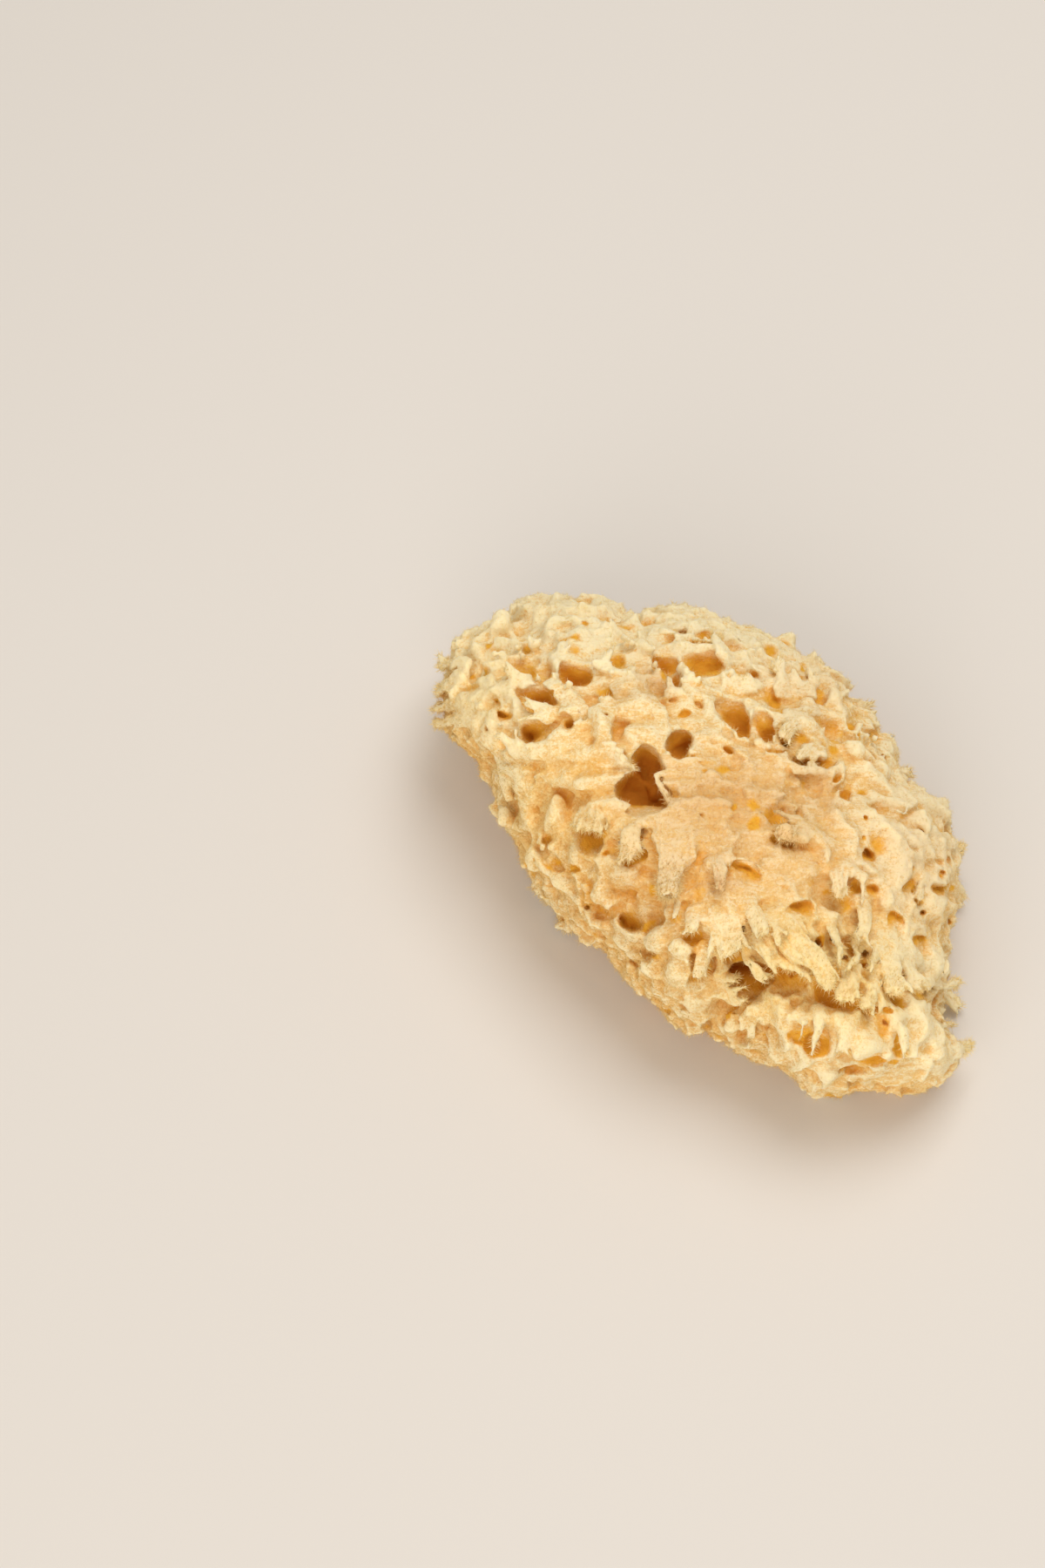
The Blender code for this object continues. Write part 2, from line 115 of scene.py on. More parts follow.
# Pockets of the face: across, up, half width, half height, turn in degrees, bias, depth. With a bias of 1 a
# pocket is deep behind a crisp lower lip and its upper wall slopes in; with -1 it is deep under its roof.
POCKETS = (
    (-51.2, 59.3, 2.3, 4.0, 8, 1.0, 6), (-66.8, 49.0, 3.2, 1.9, 0, 0.8, 6),
    (-51.9, 51.7, 4.2, 4.0, 0, 1.0, 6), (-49.8, 42.6, 5.6, 3.3, -35, 1.0, 10),
    (-49.3, 33.2, 2.9, 3.7, -8, 0.7, 10), (-41.7, 34.2, 1.3, 1.3, 0, 0.5, 5),
    (-37.6, 56.0, 1.8, 1.7, 0, 1.0, 4), (-36.6, 48.8, 3.8, 4.2, 0, 0.8, 10),
    (-31.4, 44.8, 4.8, 1.8, -30, 1.0, 5), (-26.6, 53.1, 3.6, 3.0, -20, 0.8, 9),
    (-21.6, 54.8, 1.3, 0.9, 0, 0.8, 4), (-21.1, 59.3, 2.2, 1.5, 0, 1.0, 4),
    (-11.5, 52.1, 3.4, 3.2, 0, 1.0, 10), (-9.8, 47.3, 2.2, 3.2, 10, 0.9, 9),
    (-1.3, 51.8, 5.0, 4.2, 0, 1.0, 11), (0.4, 59.9, 3.2, 1.6, 0, 1.0, 5),
    (10.3, 49.3, 2.8, 1.8, 0, 1.0, 7), (18.2, 43.0, 2.5, 5.0, 25, 1.0, 8),
    (24.4, 48.8, 1.6, 1.1, 0, 1.0, 5), (32.3, 44.4, 2.0, 2.7, 0, 1.0, 5),
    (9.1, 37.5, 3.3, 5.8, 12, 1.0, 11), (17.2, 33.5, 2.2, 3.6, 22, 0.9, 9),
    (23.4, 29.3, 1.6, 1.2, 0, 0.6, 7), (20.7, 27.1, 2.6, 1.2, 0, 1.0, 4),
    (28.6, 23.6, 3.2, 1.7, 0, 0.8, 8), (33.5, 24.4, 3.4, 1.6, 10, 1.0, 4),
    (31.1, 28.1, 1.9, 2.3, 0, 1.0, 4), (40.5, 15.7, 2.3, 3.0, 10, 0.8, 6),
    (41.0, 35.5, 1.5, 2.3, 0, 1.0, 3), (47.1, 32.5, 1.8, 1.5, 0, 1.0, 3),
    (37.0, 20.4, 1.3, 1.0, 0, 1.0, 3), (-7.0, 28.2, 2.7, 3.3, 0, 0.7, 11),
    (-6.5, 36.4, 1.5, 1.5, 0, 0.5, 4), (-24.0, 63.4, 2.0, 1.2, 0, 1.0, 3),
    (-59.6, 56.0, 1.8, 1.6, 0, 1.0, 4), (-68.9, 36.8, 3.3, 1.7, 0, 0.8, 5),
    (-68.9, 43.5, 2.2, 2.0, 0, 0.8, 4), (-58.9, 37.3, 2.6, 1.8, 0, 0.8, 5),
    (-61.5, 40.2, 1.3, 1.0, 0, 0.5, 5), (-44.9, 1.0, 1.8, 1.6, 0, 0.6, 4),
    (-63.2, 14.6, 2.4, 1.5, -35, 0.2, 7), (-21.2, -22.0, 2.8, 3.2, 0, 0.5, 6),
    (45.5, -3.3, 2.4, 2.6, 0, -0.9, 6), (34.8, -15.5, 2.6, 2.2, 0, -1.0, 5),
    (42.0, -14.5, 2.2, 3.9, -8, -0.9, 6), (47.6, -13.0, 2.2, 2.4, 0, -0.9, 5),
    (59.0, -13.0, 1.8, 2.0, 0, -0.9, 3), (66.4, -12.4, 3.2, 1.7, 0, -0.6, 4),
    (9.8, -8.4, 4.6, 2.6, 0, -1.0, 4), (3.2, -13.0, 4.2, 1.6, -35, -0.9, 7),
    (25.1, -21.1, 5.2, 3.4, 0, -1.0, 5), (16.4, -23.2, 2.4, 1.1, -45, -0.9, 5),
    (11.2, -26.5, 7.0, 1.9, -46, -0.8, 8), (11.3, -39.5, 6.6, 5.4, 0, -0.6, 9),
    (22.5, -39.5, 4.6, 5.0, 0, -0.6, 6), (28.2, -54.8, 2.0, 3.4, 0, 0.5, 4),
    (32.3, -29.8, 1.3, 2.2, 0, -0.5, 7), (37.3, -27.4, 1.0, 1.9, 0, -0.5, 6),
    (38.9, -33.0, 2.2, 2.2, 0, -0.8, 7), (44.8, -30.3, 1.7, 2.0, 0, -0.6, 8),
    (49.9, -29.3, 1.6, 2.9, -20, -0.6, 8), (45.5, -36.4, 3.4, 2.4, 0, -0.8, 6),
    (48.6, -62.9, 4.8, 1.6, -8, -0.6, 4), (54.7, -22.1, 2.4, 2.4, 0, -0.9, 3),
    (61.0, -28.0, 2.2, 1.8, 0, -0.8, 3), (62.0, -44.0, 2.4, 1.6, 0, -0.8, 3),
)

# Melting narrows the pockets, most of all in the crumpled crown, so they are cut wider than drawn, and deeper
POCKET_WIDENING = 1.14
CROWN_WIDENING = 1.32
CROWN_FOOT = 20.0
POCKET_DEEPENING = 1.6

# Small round pores that lead straight in: across, up, half size, depth
PINHOLES = (
    (-35.0, 62.7, 1.1, 4), (-38.8, 65.3, 0.9, 3), (5.1, 25.6, 1.5, 6), (27.1, 7.8, 1.2, 4),
    (29.8, 7.3, 0.8, 3), (46.6, 8.0, 0.9, 3), (6.4, 9.3, 1.2, 4), (-1.5, 8.3, 1.0, 4),
    (60.1, -6.8, 0.9, 3), (67.0, -7.3, 1.1, 3), (27.9, -50.7, 1.8, 7), (-37.7, -6.7, 1.7, 6),
    (-11.8, -47.7, 1.3, 5), (52.4, -48.7, 1.5, 3), (57.3, -55.3, 0.9, 3), (-35.3, -18.3, 1.0, 3),
    (17.7, 10.8, 0.7, 3), (44.0, 2.5, 1.0, 3), (57.0, 20.0, 0.8, 2), (52.0, 26.0, 0.9, 2),
    (-67.5, 54.0, 1.1, 3), (-29.0, -2.5, 0.9, 3), (62.5, -20.0, 1.0, 3),
)

# The great pore (osculum), as ovals that run together: across, up, half width, half height
OSCULUM = ((-16.8, 21.8, 5.2, 6.2), (-19.0, 15.4, 6.8, 6.2), (-14.6, 13.0, 5.6, 4.0))
OSCULUM_DEPTH = 20.0

# Flaps and fingers: root across and up, tip across and up, root width, tip width, lift of the tip, its lobes
TUFTS = (
    (-21.6, 8.0, -21.6, -2.2, 6.5, 5.4, 4.0, 3), (-30.5, 10.5, -33.2, 3.8, 11.0, 9.5, 3.5, 3),
    (-33.0, 5.6, -38.0, 3.9, 3.0, 1.0, 3.0, 0), (-51.2, 19.6, -59.8, 22.5, 5.5, 1.4, 3.0, 2),
    (-53.1, 28.2, -58.2, 31.1, 4.5, 2.2, 3.0, 3), (-51.0, 47.6, -57.0, 49.7, 3.4, 1.6, 2.5, 2),
    (-49.4, 56.6, -50.4, 59.4, 1.8, 0.8, 1.5, 1), (-45.5, 38.6, -51.2, 40.3, 3.4, 1.4, 2.5, 2),
    (-47.5, 37.0, -51.8, 36.2, 2.4, 1.0, 2.0, 1), (-29.6, 49.8, -27.9, 54.9, 4.4, 1.3, 2.5, 1),
    (-12.2, 42.6, -12.4, 47.4, 3.2, 0.9, 1.8, 0), (3.4, 52.6, 2.6, 58.8, 4.0, 1.8, 2.5, 3),
    (12.5, 45.4, 10.6, 48.2, 4.2, 1.6, 2.0, 3), (22.0, 43.5, 19.2, 49.8, 5.5, 3.2, 2.5, 5),
    (27.5, 43.5, 24.8, 47.6, 4.4, 2.2, 2.0, 3), (31.0, 44.8, 29.2, 48.4, 3.6, 1.8, 2.0, 2),
    (27.0, 36.5, 23.8, 31.5, 5.5, 3.2, 2.5, 4), (31.0, 27.8, 27.6, 25.2, 3.2, 2.2, 2.0, 1),
    (29.4, 4.6, 18.8, 7.9, 5.0, 1.0, 3.6, 0), (31.0, 5.0, 22.0, 1.2, 4.6, 3.2, 3.2, 5),
    (36.6, -5.2, 39.0, -15.4, 7.0, 4.6, 4.0, 0), (43.6, -9.5, 43.8, -15.8, 2.0, 0.8, 2.5, 0),
    (62.2, -9.0, 60.8, -15.8, 2.8, 1.4, 2.5, 1), (1.2, -12.5, 7.6, -31.8, 11.0, 8.0, 6.5, 7),
    (-3.2, -20.0, -4.6, -27.4, 4.4, 2.6, 3.0, 4), (-7.4, -14.5, -8.3, -22.7, 3.4, 1.0, 3.0, 1),
    (1.4, -5.5, 2.2, -11.6, 5.5, 2.8, 3.0, 2), (9.8, -13.6, 17.4, -25.8, 7.0, 2.6, 4.5, 3),
    (16.4, -18.2, 21.2, -27.0, 5.0, 1.4, 3.8, 2), (13.0, -24.6, 20.2, -35.6, 6.0, 2.4, 5.5, 2),
    (10.0, -31.0, 18.1, -39.0, 3.0, 1.4, 4.8, 3), (19.6, -21.6, 34.4, -41.4, 9.0, 4.6, 6.5, 5),
    (35.2, -20.6, 36.8, -36.2, 5.0, 1.4, 6.5, 1), (43.6, -26.0, 39.0, -36.6, 3.4, 1.2, 6.0, 1),
    (50.2, -26.0, 45.7, -34.2, 4.6, 2.0, 5.5, 2), (44.6, -16.6, 43.0, -27.0, 5.4, 3.2, 4.5, 2),
    (51.4, -28.0, 55.3, -42.6, 7.5, 5.6, 5.5, 7), (39.6, -35.6, 41.2, -44.0, 6.6, 5.4, 3.0, 5),
    (48.0, -37.0, 47.0, -47.4, 5.4, 3.2, 3.5, 4), (32.8, -47.0, 31.2, -58.6, 6.5, 1.6, 4.0, 1),
    (26.4, -50.8, 26.6, -55.6, 3.0, 1.0, 2.5, 0), (4.8, -37.2, 8.6, -38.2, 2.6, 0.9, 2.5, 1),
    (5.6, -41.2, 10.2, -41.8, 2.6, 0.9, 2.5, 1), (6.0, -44.2, 9.8, -45.8, 2.6, 0.9, 2.5, 1),
    (-66.0, 34.0, -76.5, 35.0, 6.0, 2.0, 1.0, 3), (-66.0, 39.5, -76.0, 40.5, 5.0, 1.6, 1.0, 2),
    (-68.0, 51.5, -77.0, 51.0, 4.0, 1.4, 1.0, 2), (64.0, -59.5, 75.3, -58.8, 9.0, 1.8, 0.0, 2),
    (63.0, -51.5, 71.0, -52.3, 4.0, 1.0, 0.5, 1), (62.0, -38.5, 70.0, -39.5, 4.5, 1.4, 0.5, 1),
    (65.0, 1.0, 73.2, -1.0, 6.0, 2.0, 0.5, 1), (-70.0, 46.0, -76.5, 45.0, 4.0, 1.6, 0.5, 2),
    (20.5, -29.0, 27.5, -38.0, 5.0, 2.4, 4.0, 3), (56.0, -33.0, 60.5, -40.5, 5.0, 3.0, 3.0, 4),
    (-2.0, -30.0, -1.0, -36.5, 5.0, 3.0, 2.0, 3), (15.0, -50.0, 14.0, -56.0, 4.0, 1.6, 1.5, 2),
    (40.0, -50.0, 39.5, -57.0, 5.0, 2.4, 2.0, 3), (53.0, -52.0, 56.5, -59.0, 4.5, 2.0, 2.0, 3),
)

# The cone below the great pore: root across and up, tip across and up, root width, tip width, lift of the tip
CONE = (-9.4, 8.4, -10.6, -14.4, 13.0, 4.8, 8.0)

# Raised folds: radius, then across and up of each point
RIDGES = (
    (1.8, (-56.0, 28.8), (-48.5, 26.6), (-41.5, 24.2), (-33.0, 25.0)),
    (1.2, (-45.0, 16.8), (-37.0, 17.2), (-29.0, 18.9)), (2.4, (43.9, 20.2), (56.3, 13.7), (68.0, 8.4)),
    (0.9, (26.0, 21.6), (29.5, 21.4), (33.5, 22.4), (38.5, 21.4)),
    (0.9, (5.4, -6.2), (9.5, -5.4), (14.4, -6.6)),
    (0.8, (20.4, -19.3), (23.5, -17.8), (27.5, -17.6), (30.6, -19.3)),
    (1.6, (48.0, 3.0), (58.0, 2.0), (68.0, -3.0)), (1.4, (-48.0, -2.0), (-42.0, -12.0), (-33.0, -20.0)),
    (1.0, (-35.0, -12.0), (-34.6, -17.0), (-33.8, -22.0)),
    (2.0, (-14.0, 38.0), (-20.0, 37.0), (-28.0, 38.6)),
    (1.8, (-64.0, 30.0), (-60.0, 24.0), (-56.0, 14.0)),
)

# Creases: radius, then across and up of each point
CREASES = (
    (0.8, (-58.0, 26.0), (-52.0, 22.4), (-46.5, 20.4), (-38.0, 20.8), (-30.0, 21.8)),
    (0.7, (-37.0, 15.2), (-32.0, 15.4), (-27.5, 16.8)), (0.6, (-2.0, 22.2), (1.2, 21.6)),
    (1.3, (19.5, 5.6), (25.0, 4.2), (28.8, 5.8)), (0.7, (51.0, 8.6), (61.0, 5.4), (69.0, 3.6)),
    (0.8, (34.2, 18.0), (34.6, 13.0), (33.8, 7.6)), (0.8, (30.0, -2.0), (33.0, -7.0), (33.5, -11.0)),
    (1.2, (-29.0, 2.0), (-35.0, 1.8), (-40.0, 2.4)), (1.6, (-16.6, 4.0), (-16.6, -3.0), (-16.0, -10.0)),
    (1.5, (-3.0, 0.0), (-4.4, -6.0), (-6.0, -11.0)),
)

# Soft lumps: across, up, radius
LUMPS = (
    (-24.1, 7.9, 1.3), (-21.2, 9.4, 1.2), (-17.7, 7.7, 1.3), (-12.5, 8.2, 1.4), (-9.4, 9.2, 1.2),
    (-51.2, 13.4, 2.6), (-52.4, 16.4, 2.2), (-43.8, 5.2, 3.2), (-43.0, 28.4, 3.0), (40.9, -9.9, 1.8),
    (18.7, 30.4, 1.1), (21.4, 46.0, 2.0), (-24.0, -7.4, 3.2), (-30.0, 33.0, 3.4), (-60.0, 62.0, 2.6),
    (28.0, 33.0, 2.8), (-20.0, 37.6, 3.6), (36.0, 39.0, 3.4), (41.0, 26.0, 3.0), (50.0, 21.0, 2.6),
    (53.0, -2.0, 2.8), (56.0, -9.0, 2.4), (61.0, 6.0, 2.8), (52.0, -16.0, 2.4), (64.0, -18.0, 2.8),
    (58.0, -31.0, 2.6), (64.0, -34.0, 2.6), (61.0, -48.0, 2.8), (45.0, -57.0, 3.2), (34.0, -66.0, 3.0),
    (22.0, -60.0, 2.6), (8.0, -52.0, 2.6), (-8.0, -36.0, 3.2), (-14.0, -28.0, 3.0), (-44.0, 10.0, 2.2),
    (-19.6, 29.6, 2.2), (-14.6, 30.6, 2.4), (-57.0, 8.0, 2.2), (-48.0, -6.0, 2.4), (-30.0, -14.0, 2.6),
    (22.0, 24.0, 2.2), (-62.0, 33.0, 2.6), (-64.0, 45.0, 2.2),
)

# Where the face is orange, lemon, lighter in its painted shade, or smooth felt: across, up, half width, half
# height, strength. The lemon spots are the flaps, and the streaks run down them.
ORANGE_SPOTS = (
    (6.0, 14.0, 27.0, 13.0, 0.9), (-15.0, 46.4, 5.5, 5.0, 0.7), (-25.4, 43.0, 3.0, 2.4, 0.6),
    (60.0, -6.0, 16.0, 20.0, 0.3), (30.0, 44.0, 16.0, 10.0, 0.25), (-20.0, -22.0, 5.0, 4.0, 0.5),
    (34.0, 14.0, 3.0, 7.0, 0.6), (3.0, -12.0, 6.0, 3.0, 0.7), (-8.0, -6.0, 22.0, 14.0, 0.4),
    (26.0, -6.0, 18.0, 14.0, 0.4),
)
LEMON_SPOTS = (
    (30.0, -30.0, 24.0, 14.0, 0.9), (-50.0, 8.0, 14.0, 18.0, 0.5), (14.0, -42.0, 12.0, 8.0, 0.9),
    (-66.0, 44.0, 12.0, 14.0, 0.6), (-28.0, 2.0, 14.0, 9.0, 0.6), (24.0, 2.0, 8.0, 6.0, 0.7),
    (44.0, -46.0, 16.0, 10.0, 0.8),
)
PALE_SPOTS = (
    (-34.0, 62.0, 36.0, 14.0, 1.0), (18.0, 54.0, 26.0, 12.0, 0.8), (-66.0, 44.0, 12.0, 14.0, 0.8),
    (60.0, 4.0, 14.0, 26.0, 0.9), (62.0, -40.0, 12.0, 22.0, 0.7), (46.0, -64.0, 26.0, 10.0, 0.7),
    (-58.0, 12.0, 8.0, 20.0, 0.9), (-44.0, -14.0, 10.0, 12.0, 0.9), (-28.0, -34.0, 12.0, 10.0, 0.9),
    (-10.0, -48.0, 14.0, 8.0, 0.9), (12.0, -59.0, 14.0, 8.0, 0.9), (30.0, -70.0, 12.0, 8.0, 0.8),
)
CALM_SPOTS = (
    (10.0, 14.0, 24.0, 10.0, 1.0), (-36.0, 18.0, 10.0, 5.0, 0.8), (-34.0, -8.0, 10.0, 12.0, 0.7),
    (46.0, 14.0, 14.0, 9.0, 0.7), (-18.0, -24.0, 14.0, 10.0, 0.7), (22.0, -8.0, 12.0, 8.0, 0.6),
    (30.0, -24.0, 8.0, 6.0, 0.6),
)

# What each point of the skin and the hairs stores for the colours; the hollow, the depth and the shade of
# recesses set painted shade
VALUE_NAMES = ("hollow", "depth", "stain", "pale", "orange", "lemon")
COLOUR_LABELS = ("Tip", "Flesh", "Ochre", "Amber", "Deep")
TOWARD_LIGHT = np.array((0.22, 0.46, 0.86))
PALER_SHARE = 0.17
DEEPEST = 14.0

# Tints that the spots give, and the low and high values between which each colour of the sponge sets in;
# flesh, ochre, amber and deep are painted shade
LEMON_TINT = (0.96, 0.71, 0.27, 1.0)
ORANGE_TINT = (0.72, 0.43, 0.17, 1.0)
FLESH_STEP = (0.09, 0.33)
OCHRE_STEP = (0.30, 0.56)
AMBER_HOLLOW_STEP = (0.55, 0.85)
AMBER_RECESS_SHADE_STEP = (0.05, 0.65)
DEEP_STEP = (0.48, 1.05)

# Kinds of hair: bends, least and most length, radius and lift, and how much less hollow, and so less painted
# shade, the tip counts
SHORT_HAIR = (0, (0.8, 2.2), (0.03, 0.05), (0.15, 0.8), 0.04)
CURLY_HAIR = (1, (1.4, 3.2), (0.035, 0.055), (0.1, 0.6), 0.05)
FRINGE_HAIR = (2, (1.0, 2.6), (0.06, 0.11), (1.2, 3.0), 0.05)

# The studio, in metres and watts: a light's place, size, power and colour
KEY_LIGHT = ((0.24, 0.26, 1.3), 0.8, 9.0, (1.0, 0.99, 0.97))
FILL_LIGHT = ((-0.4, -1.3, 0.8), 1.4, 13.0, (1.0, 0.94, 0.86))
SKY_COLOUR = (1.0, 0.93, 0.83, 1.0)
SKY_STRENGTH = 0.46
FLOOR_SIDE = 3.0
FLOOR_HEIGHT = -0.0002
CAMERA_LENS = 85.0
CAMERA_SENSOR = 36.0

# The grown form, which the skin's operator leaves for the hairs' operator
grown = {}

outline_angles = np.array([math.atan2(up, across) for across, up in OUTLINE])
outline_radii = np.array([math.hypot(across, up) for across, up in OUTLINE])


class SpongeForm(bpy.types.PropertyGroup):
    """Sizes and numbers of the sponge's skin and hairs."""

    grid_step: FloatProperty(
        name="Grid step", description="Spacing of the cells that hold the form, in mm",
        default=0.5, min=0.4, max=3.0)
    skin_triangles: IntProperty(
        name="Skin triangles", description="Triangles that the skin is thinned to",
        default=196000, min=10000, max=199000)
    raggedness: FloatProperty(
        name="Raggedness", description="How far pores and tufts are pulled out of true, in mm",
        default=1.3, min=0.0, max=5.0)
    flank_pockets: IntProperty(
        name="Flank pockets", description="Pockets of the flank and the back", default=90, min=0)
    pits: IntProperty(
        name="Pits", description="Small pits scattered over the whole sponge", default=130, min=0)
    dishes: IntProperty(
        name="Dishes", description="Shallow bowls over the whole sponge", default=520, min=0)
    knobs: IntProperty(
        name="Knobs", description="Soft knobs scattered over the whole sponge", default=80, min=0)
    felt_hairs: IntProperty(
        name="Felt hairs", description="Short straight hairs in each of two pieces",
        default=48500, min=100, max=49000)
    curly_hairs: IntProperty(
        name="Curly hairs", description="Hairs with one bend", default=19400, min=100, max=19900)
    fringe_hairs: IntProperty(
        name="Fringe hairs", description="Coarser hairs of the torn edges", default=6500, min=100, max=12400)
    flank_tufts: IntProperty(
        name="Flank tufts", description="Tufts on the flank and the back", default=56, min=0)
    seed: IntProperty(
        name="Seed", description="Changes everything that is scattered", default=11, min=0)


class SpongeColours(bpy.types.PropertyGroup):
    """Colours of the dry sponge, most of them for its painted shade, and its floor."""

    tip: FloatVectorProperty(
        name="Tips", description="Torn edges, tips and open skin",
        subtype="COLOR", default=(0.99, 0.84, 0.55), min=0.0, max=1.0)
    flesh: FloatVectorProperty(
        name="Flesh", description="Skin that is turned away from the light",
        subtype="COLOR", default=(0.90, 0.63, 0.27), min=0.0, max=1.0)
    # painted shade in shallow hollows
    ochre: FloatVectorProperty(
        name="Ochre", description="Shallow hollows",
        subtype="COLOR", default=(0.82, 0.45, 0.115), min=0.0, max=1.0)
    # painted shade on the walls of the pores
    amber: FloatVectorProperty(
        name="Amber", description="The walls of the pores",
        subtype="COLOR", default=(0.85, 0.45, 0.05), min=0.0, max=1.0)
    # painted shade at the bottoms of the pores
    deep: FloatVectorProperty(
        name="Deep", description="The bottoms of the pores",
        subtype="COLOR", default=(0.56, 0.21, 0.02), min=0.0, max=1.0)
    floor: FloatVectorProperty(
        name="Floor", description="The studio floor",
        subtype="COLOR", default=(0.735, 0.70, 0.665), min=0.0, max=1.0)


def unit(vectors):
    """Each vector divided by its length."""
    return vectors / np.maximum(np.linalg.norm(vectors, axis=-1, keepdims=True), 1e-9)


def place(across, up, out):
    """Points in space of drawn points: (across, up) shrink towards the eye's own place as out grows."""
    across, up, out = np.broadcast_arrays(*(np.asarray(v, dtype=float) for v in (across, up, out)))
    shrink = (EYE_DISTANCE - out) / EYE_DISTANCE
    flat_across = EYE_ACROSS + (across - EYE_ACROSS) * shrink
    flat_up = EYE_UP + (up - EYE_UP) * shrink
    points = flat_across[..., None] * ACROSS + flat_up[..., None] * UP + out[..., None] * OUT
    return points + (0.0, 0.0, DRAWING_HEIGHT)


def draw(points):
    """The inverse of place: across, up and out of points in space."""
    flat = points - (0.0, 0.0, DRAWING_HEIGHT)
    out = flat @ OUT
    shrink = (EYE_DISTANCE - out) / EYE_DISTANCE
    across = EYE_ACROSS + (flat @ ACROSS - EYE_ACROSS) / shrink
    up = EYE_UP + (flat @ UP - EYE_UP) / shrink
    return across, up, out


def rim_radius(angles):
    """How far the drawn rim is from the middle at each angle, in step with the angle between two points."""
    return np.interp(angles, outline_angles, outline_radii, period=2 * math.pi)


def bell(across, up, at_across, at_up, half_width, half_height):
    """A bell curve: exp(-(across/half width)^2 - (up/half height)^2), measured from its middle."""
    return np.exp(-(((across - at_across) / half_width) ** 2) - ((up - at_up) / half_height) ** 2)


def swell(across, up):
    """Sum of bell curves, one for each broad swelling."""
    return sum(rise * bell(across, up, *oval) for *oval, rise in SWELLS)


def patches(across, up, spots):
    """Sum of bell curves, one for each spot of the drawing, held between 0 and 1."""
    total = np.zeros(np.shape(across))
    for *oval, strength in spots:
        total += strength * bell(across, up, *oval)
    return np.clip(total, 0.0, 1.0)


def face_out(across, up):
    """How far out the face stands: a dome (1 - share^2.4)^(1/2.2) over the tilted rim, with its swellings."""
    share = np.minimum(1.0, np.hypot(across, up) / rim_radius(np.arctan2(up, across)))
    dome = (1.0 - share**SIDE_ROUNDNESS) ** (1.0 / TOP_ROUNDNESS)
    return -RIM_FALL * up + (FACE_BULGE + swell(across, up)) * dome


def face_normal(across, up):
    """The face's normal, from the cross product of its two slopes."""
    step = 0.8
    here = place(across, up, face_out(across, up))
    along = place(across + step, up, face_out(across + step, up)) - here
    over = place(across, up + step, face_out(across, up + step)) - here
    return unit(np.cross(along, over))


def body_point(angle, arc):
    """A point of the body: rim radius times cos(arc)^(2/2.4), and bulge times sin(arc)^(2/2.2) out."""
    share = np.cos(arc) ** (2.0 / SIDE_ROUNDNESS)
    rise = np.copysign(np.abs(np.sin(arc)) ** (2.0 / TOP_ROUNDNESS), arc)
    radius = rim_radius(angle) * share
    across, up = radius * np.cos(angle), radius * np.sin(angle)
    bulge = np.where(arc > 0, FACE_BULGE + swell(across, up), BACK_BULGE)
    return place(across, up, -RIM_FALL * up + bulge * rise)


def body_frame(angle, arc):
    """A point of the body, its normal, and the direction down along the skin, away from the face's pole."""
    point = body_point(angle, arc)
    around = body_point(angle + 0.01, arc) - point
    over = body_point(angle, arc + 0.01) - point
    return point, unit(np.cross(around, over)), -unit(over)


def melt(first, second, blend):
    """Smooth minimum of two distances: where they differ by less than blend, a parabola rounds the fold."""
    share = np.clip(0.5 + 0.5 * (second - first) / blend, 0.0, 1.0)
    return second + (first - second) * share - blend * share * (1.0 - share)


def spline_weights(axis, spacing):
    """Cubic spline weights that carry values from lattice points of this spacing to the cells of an axis."""
    at = (axis - axis[0]) / spacing
    base = np.floor(at).astype(int)
    t = at - base
    weights = np.zeros((len(axis), base.max() + 4), dtype=np.float32)
    rows = np.arange(len(axis))
    parts = ((1 - t) ** 3, 3 * t**3 - 6 * t**2 + 4, -3 * t**3 + 3 * t**2 + 3 * t + 1, t**3)
    for k, part in enumerate(parts):
        weights[rows, base + k] = part / 6
    return weights


def spread(weights, lattice):
    """Applies one weight matrix along each axis of a lattice."""
    out = np.tensordot(weights[0], lattice, axes=(1, 0))
    out = np.matmul(weights[1][None], out)
    return np.matmul(out, weights[2].T)


def cloud(axes, spacings, rng):
    """A smooth random field of unit spread: random numbers on a lattice, carried on by cubic splines."""
    weights = [spline_weights(axis, spacing) for axis, spacing in zip(axes, spacings)]
    lattice = rng.uniform(-1.0, 1.0, size=[w.shape[1] for w in weights]).astype(np.float32)
    field = spread(weights, lattice)
    return field / field.std()


def blur_weights(count, sigma):
    """Rows of a Gaussian of this spread, in cells, each summing to one."""
    at = np.arange(count)
    weights = np.exp(-0.5 * ((at[:, None] - at[None, :]) / sigma) ** 2)
    return (weights / weights.sum(axis=1, keepdims=True)).astype(np.float32)


def between_cells(axis, rough):
    """Weights that carry values from coarse lattice points to the cells of an axis along straight lines."""
    at = (axis - rough[0]) / (rough[1] - rough[0])
    base = np.minimum(np.floor(at).astype(int), len(rough) - 2)
    matrix = np.zeros((len(axis), len(rough)), dtype=np.float32)
    rows = np.arange(len(axis))
    matrix[rows, base] = 1.0 - (at - base)
    matrix[rows, base + 1] = at - base
    return matrix


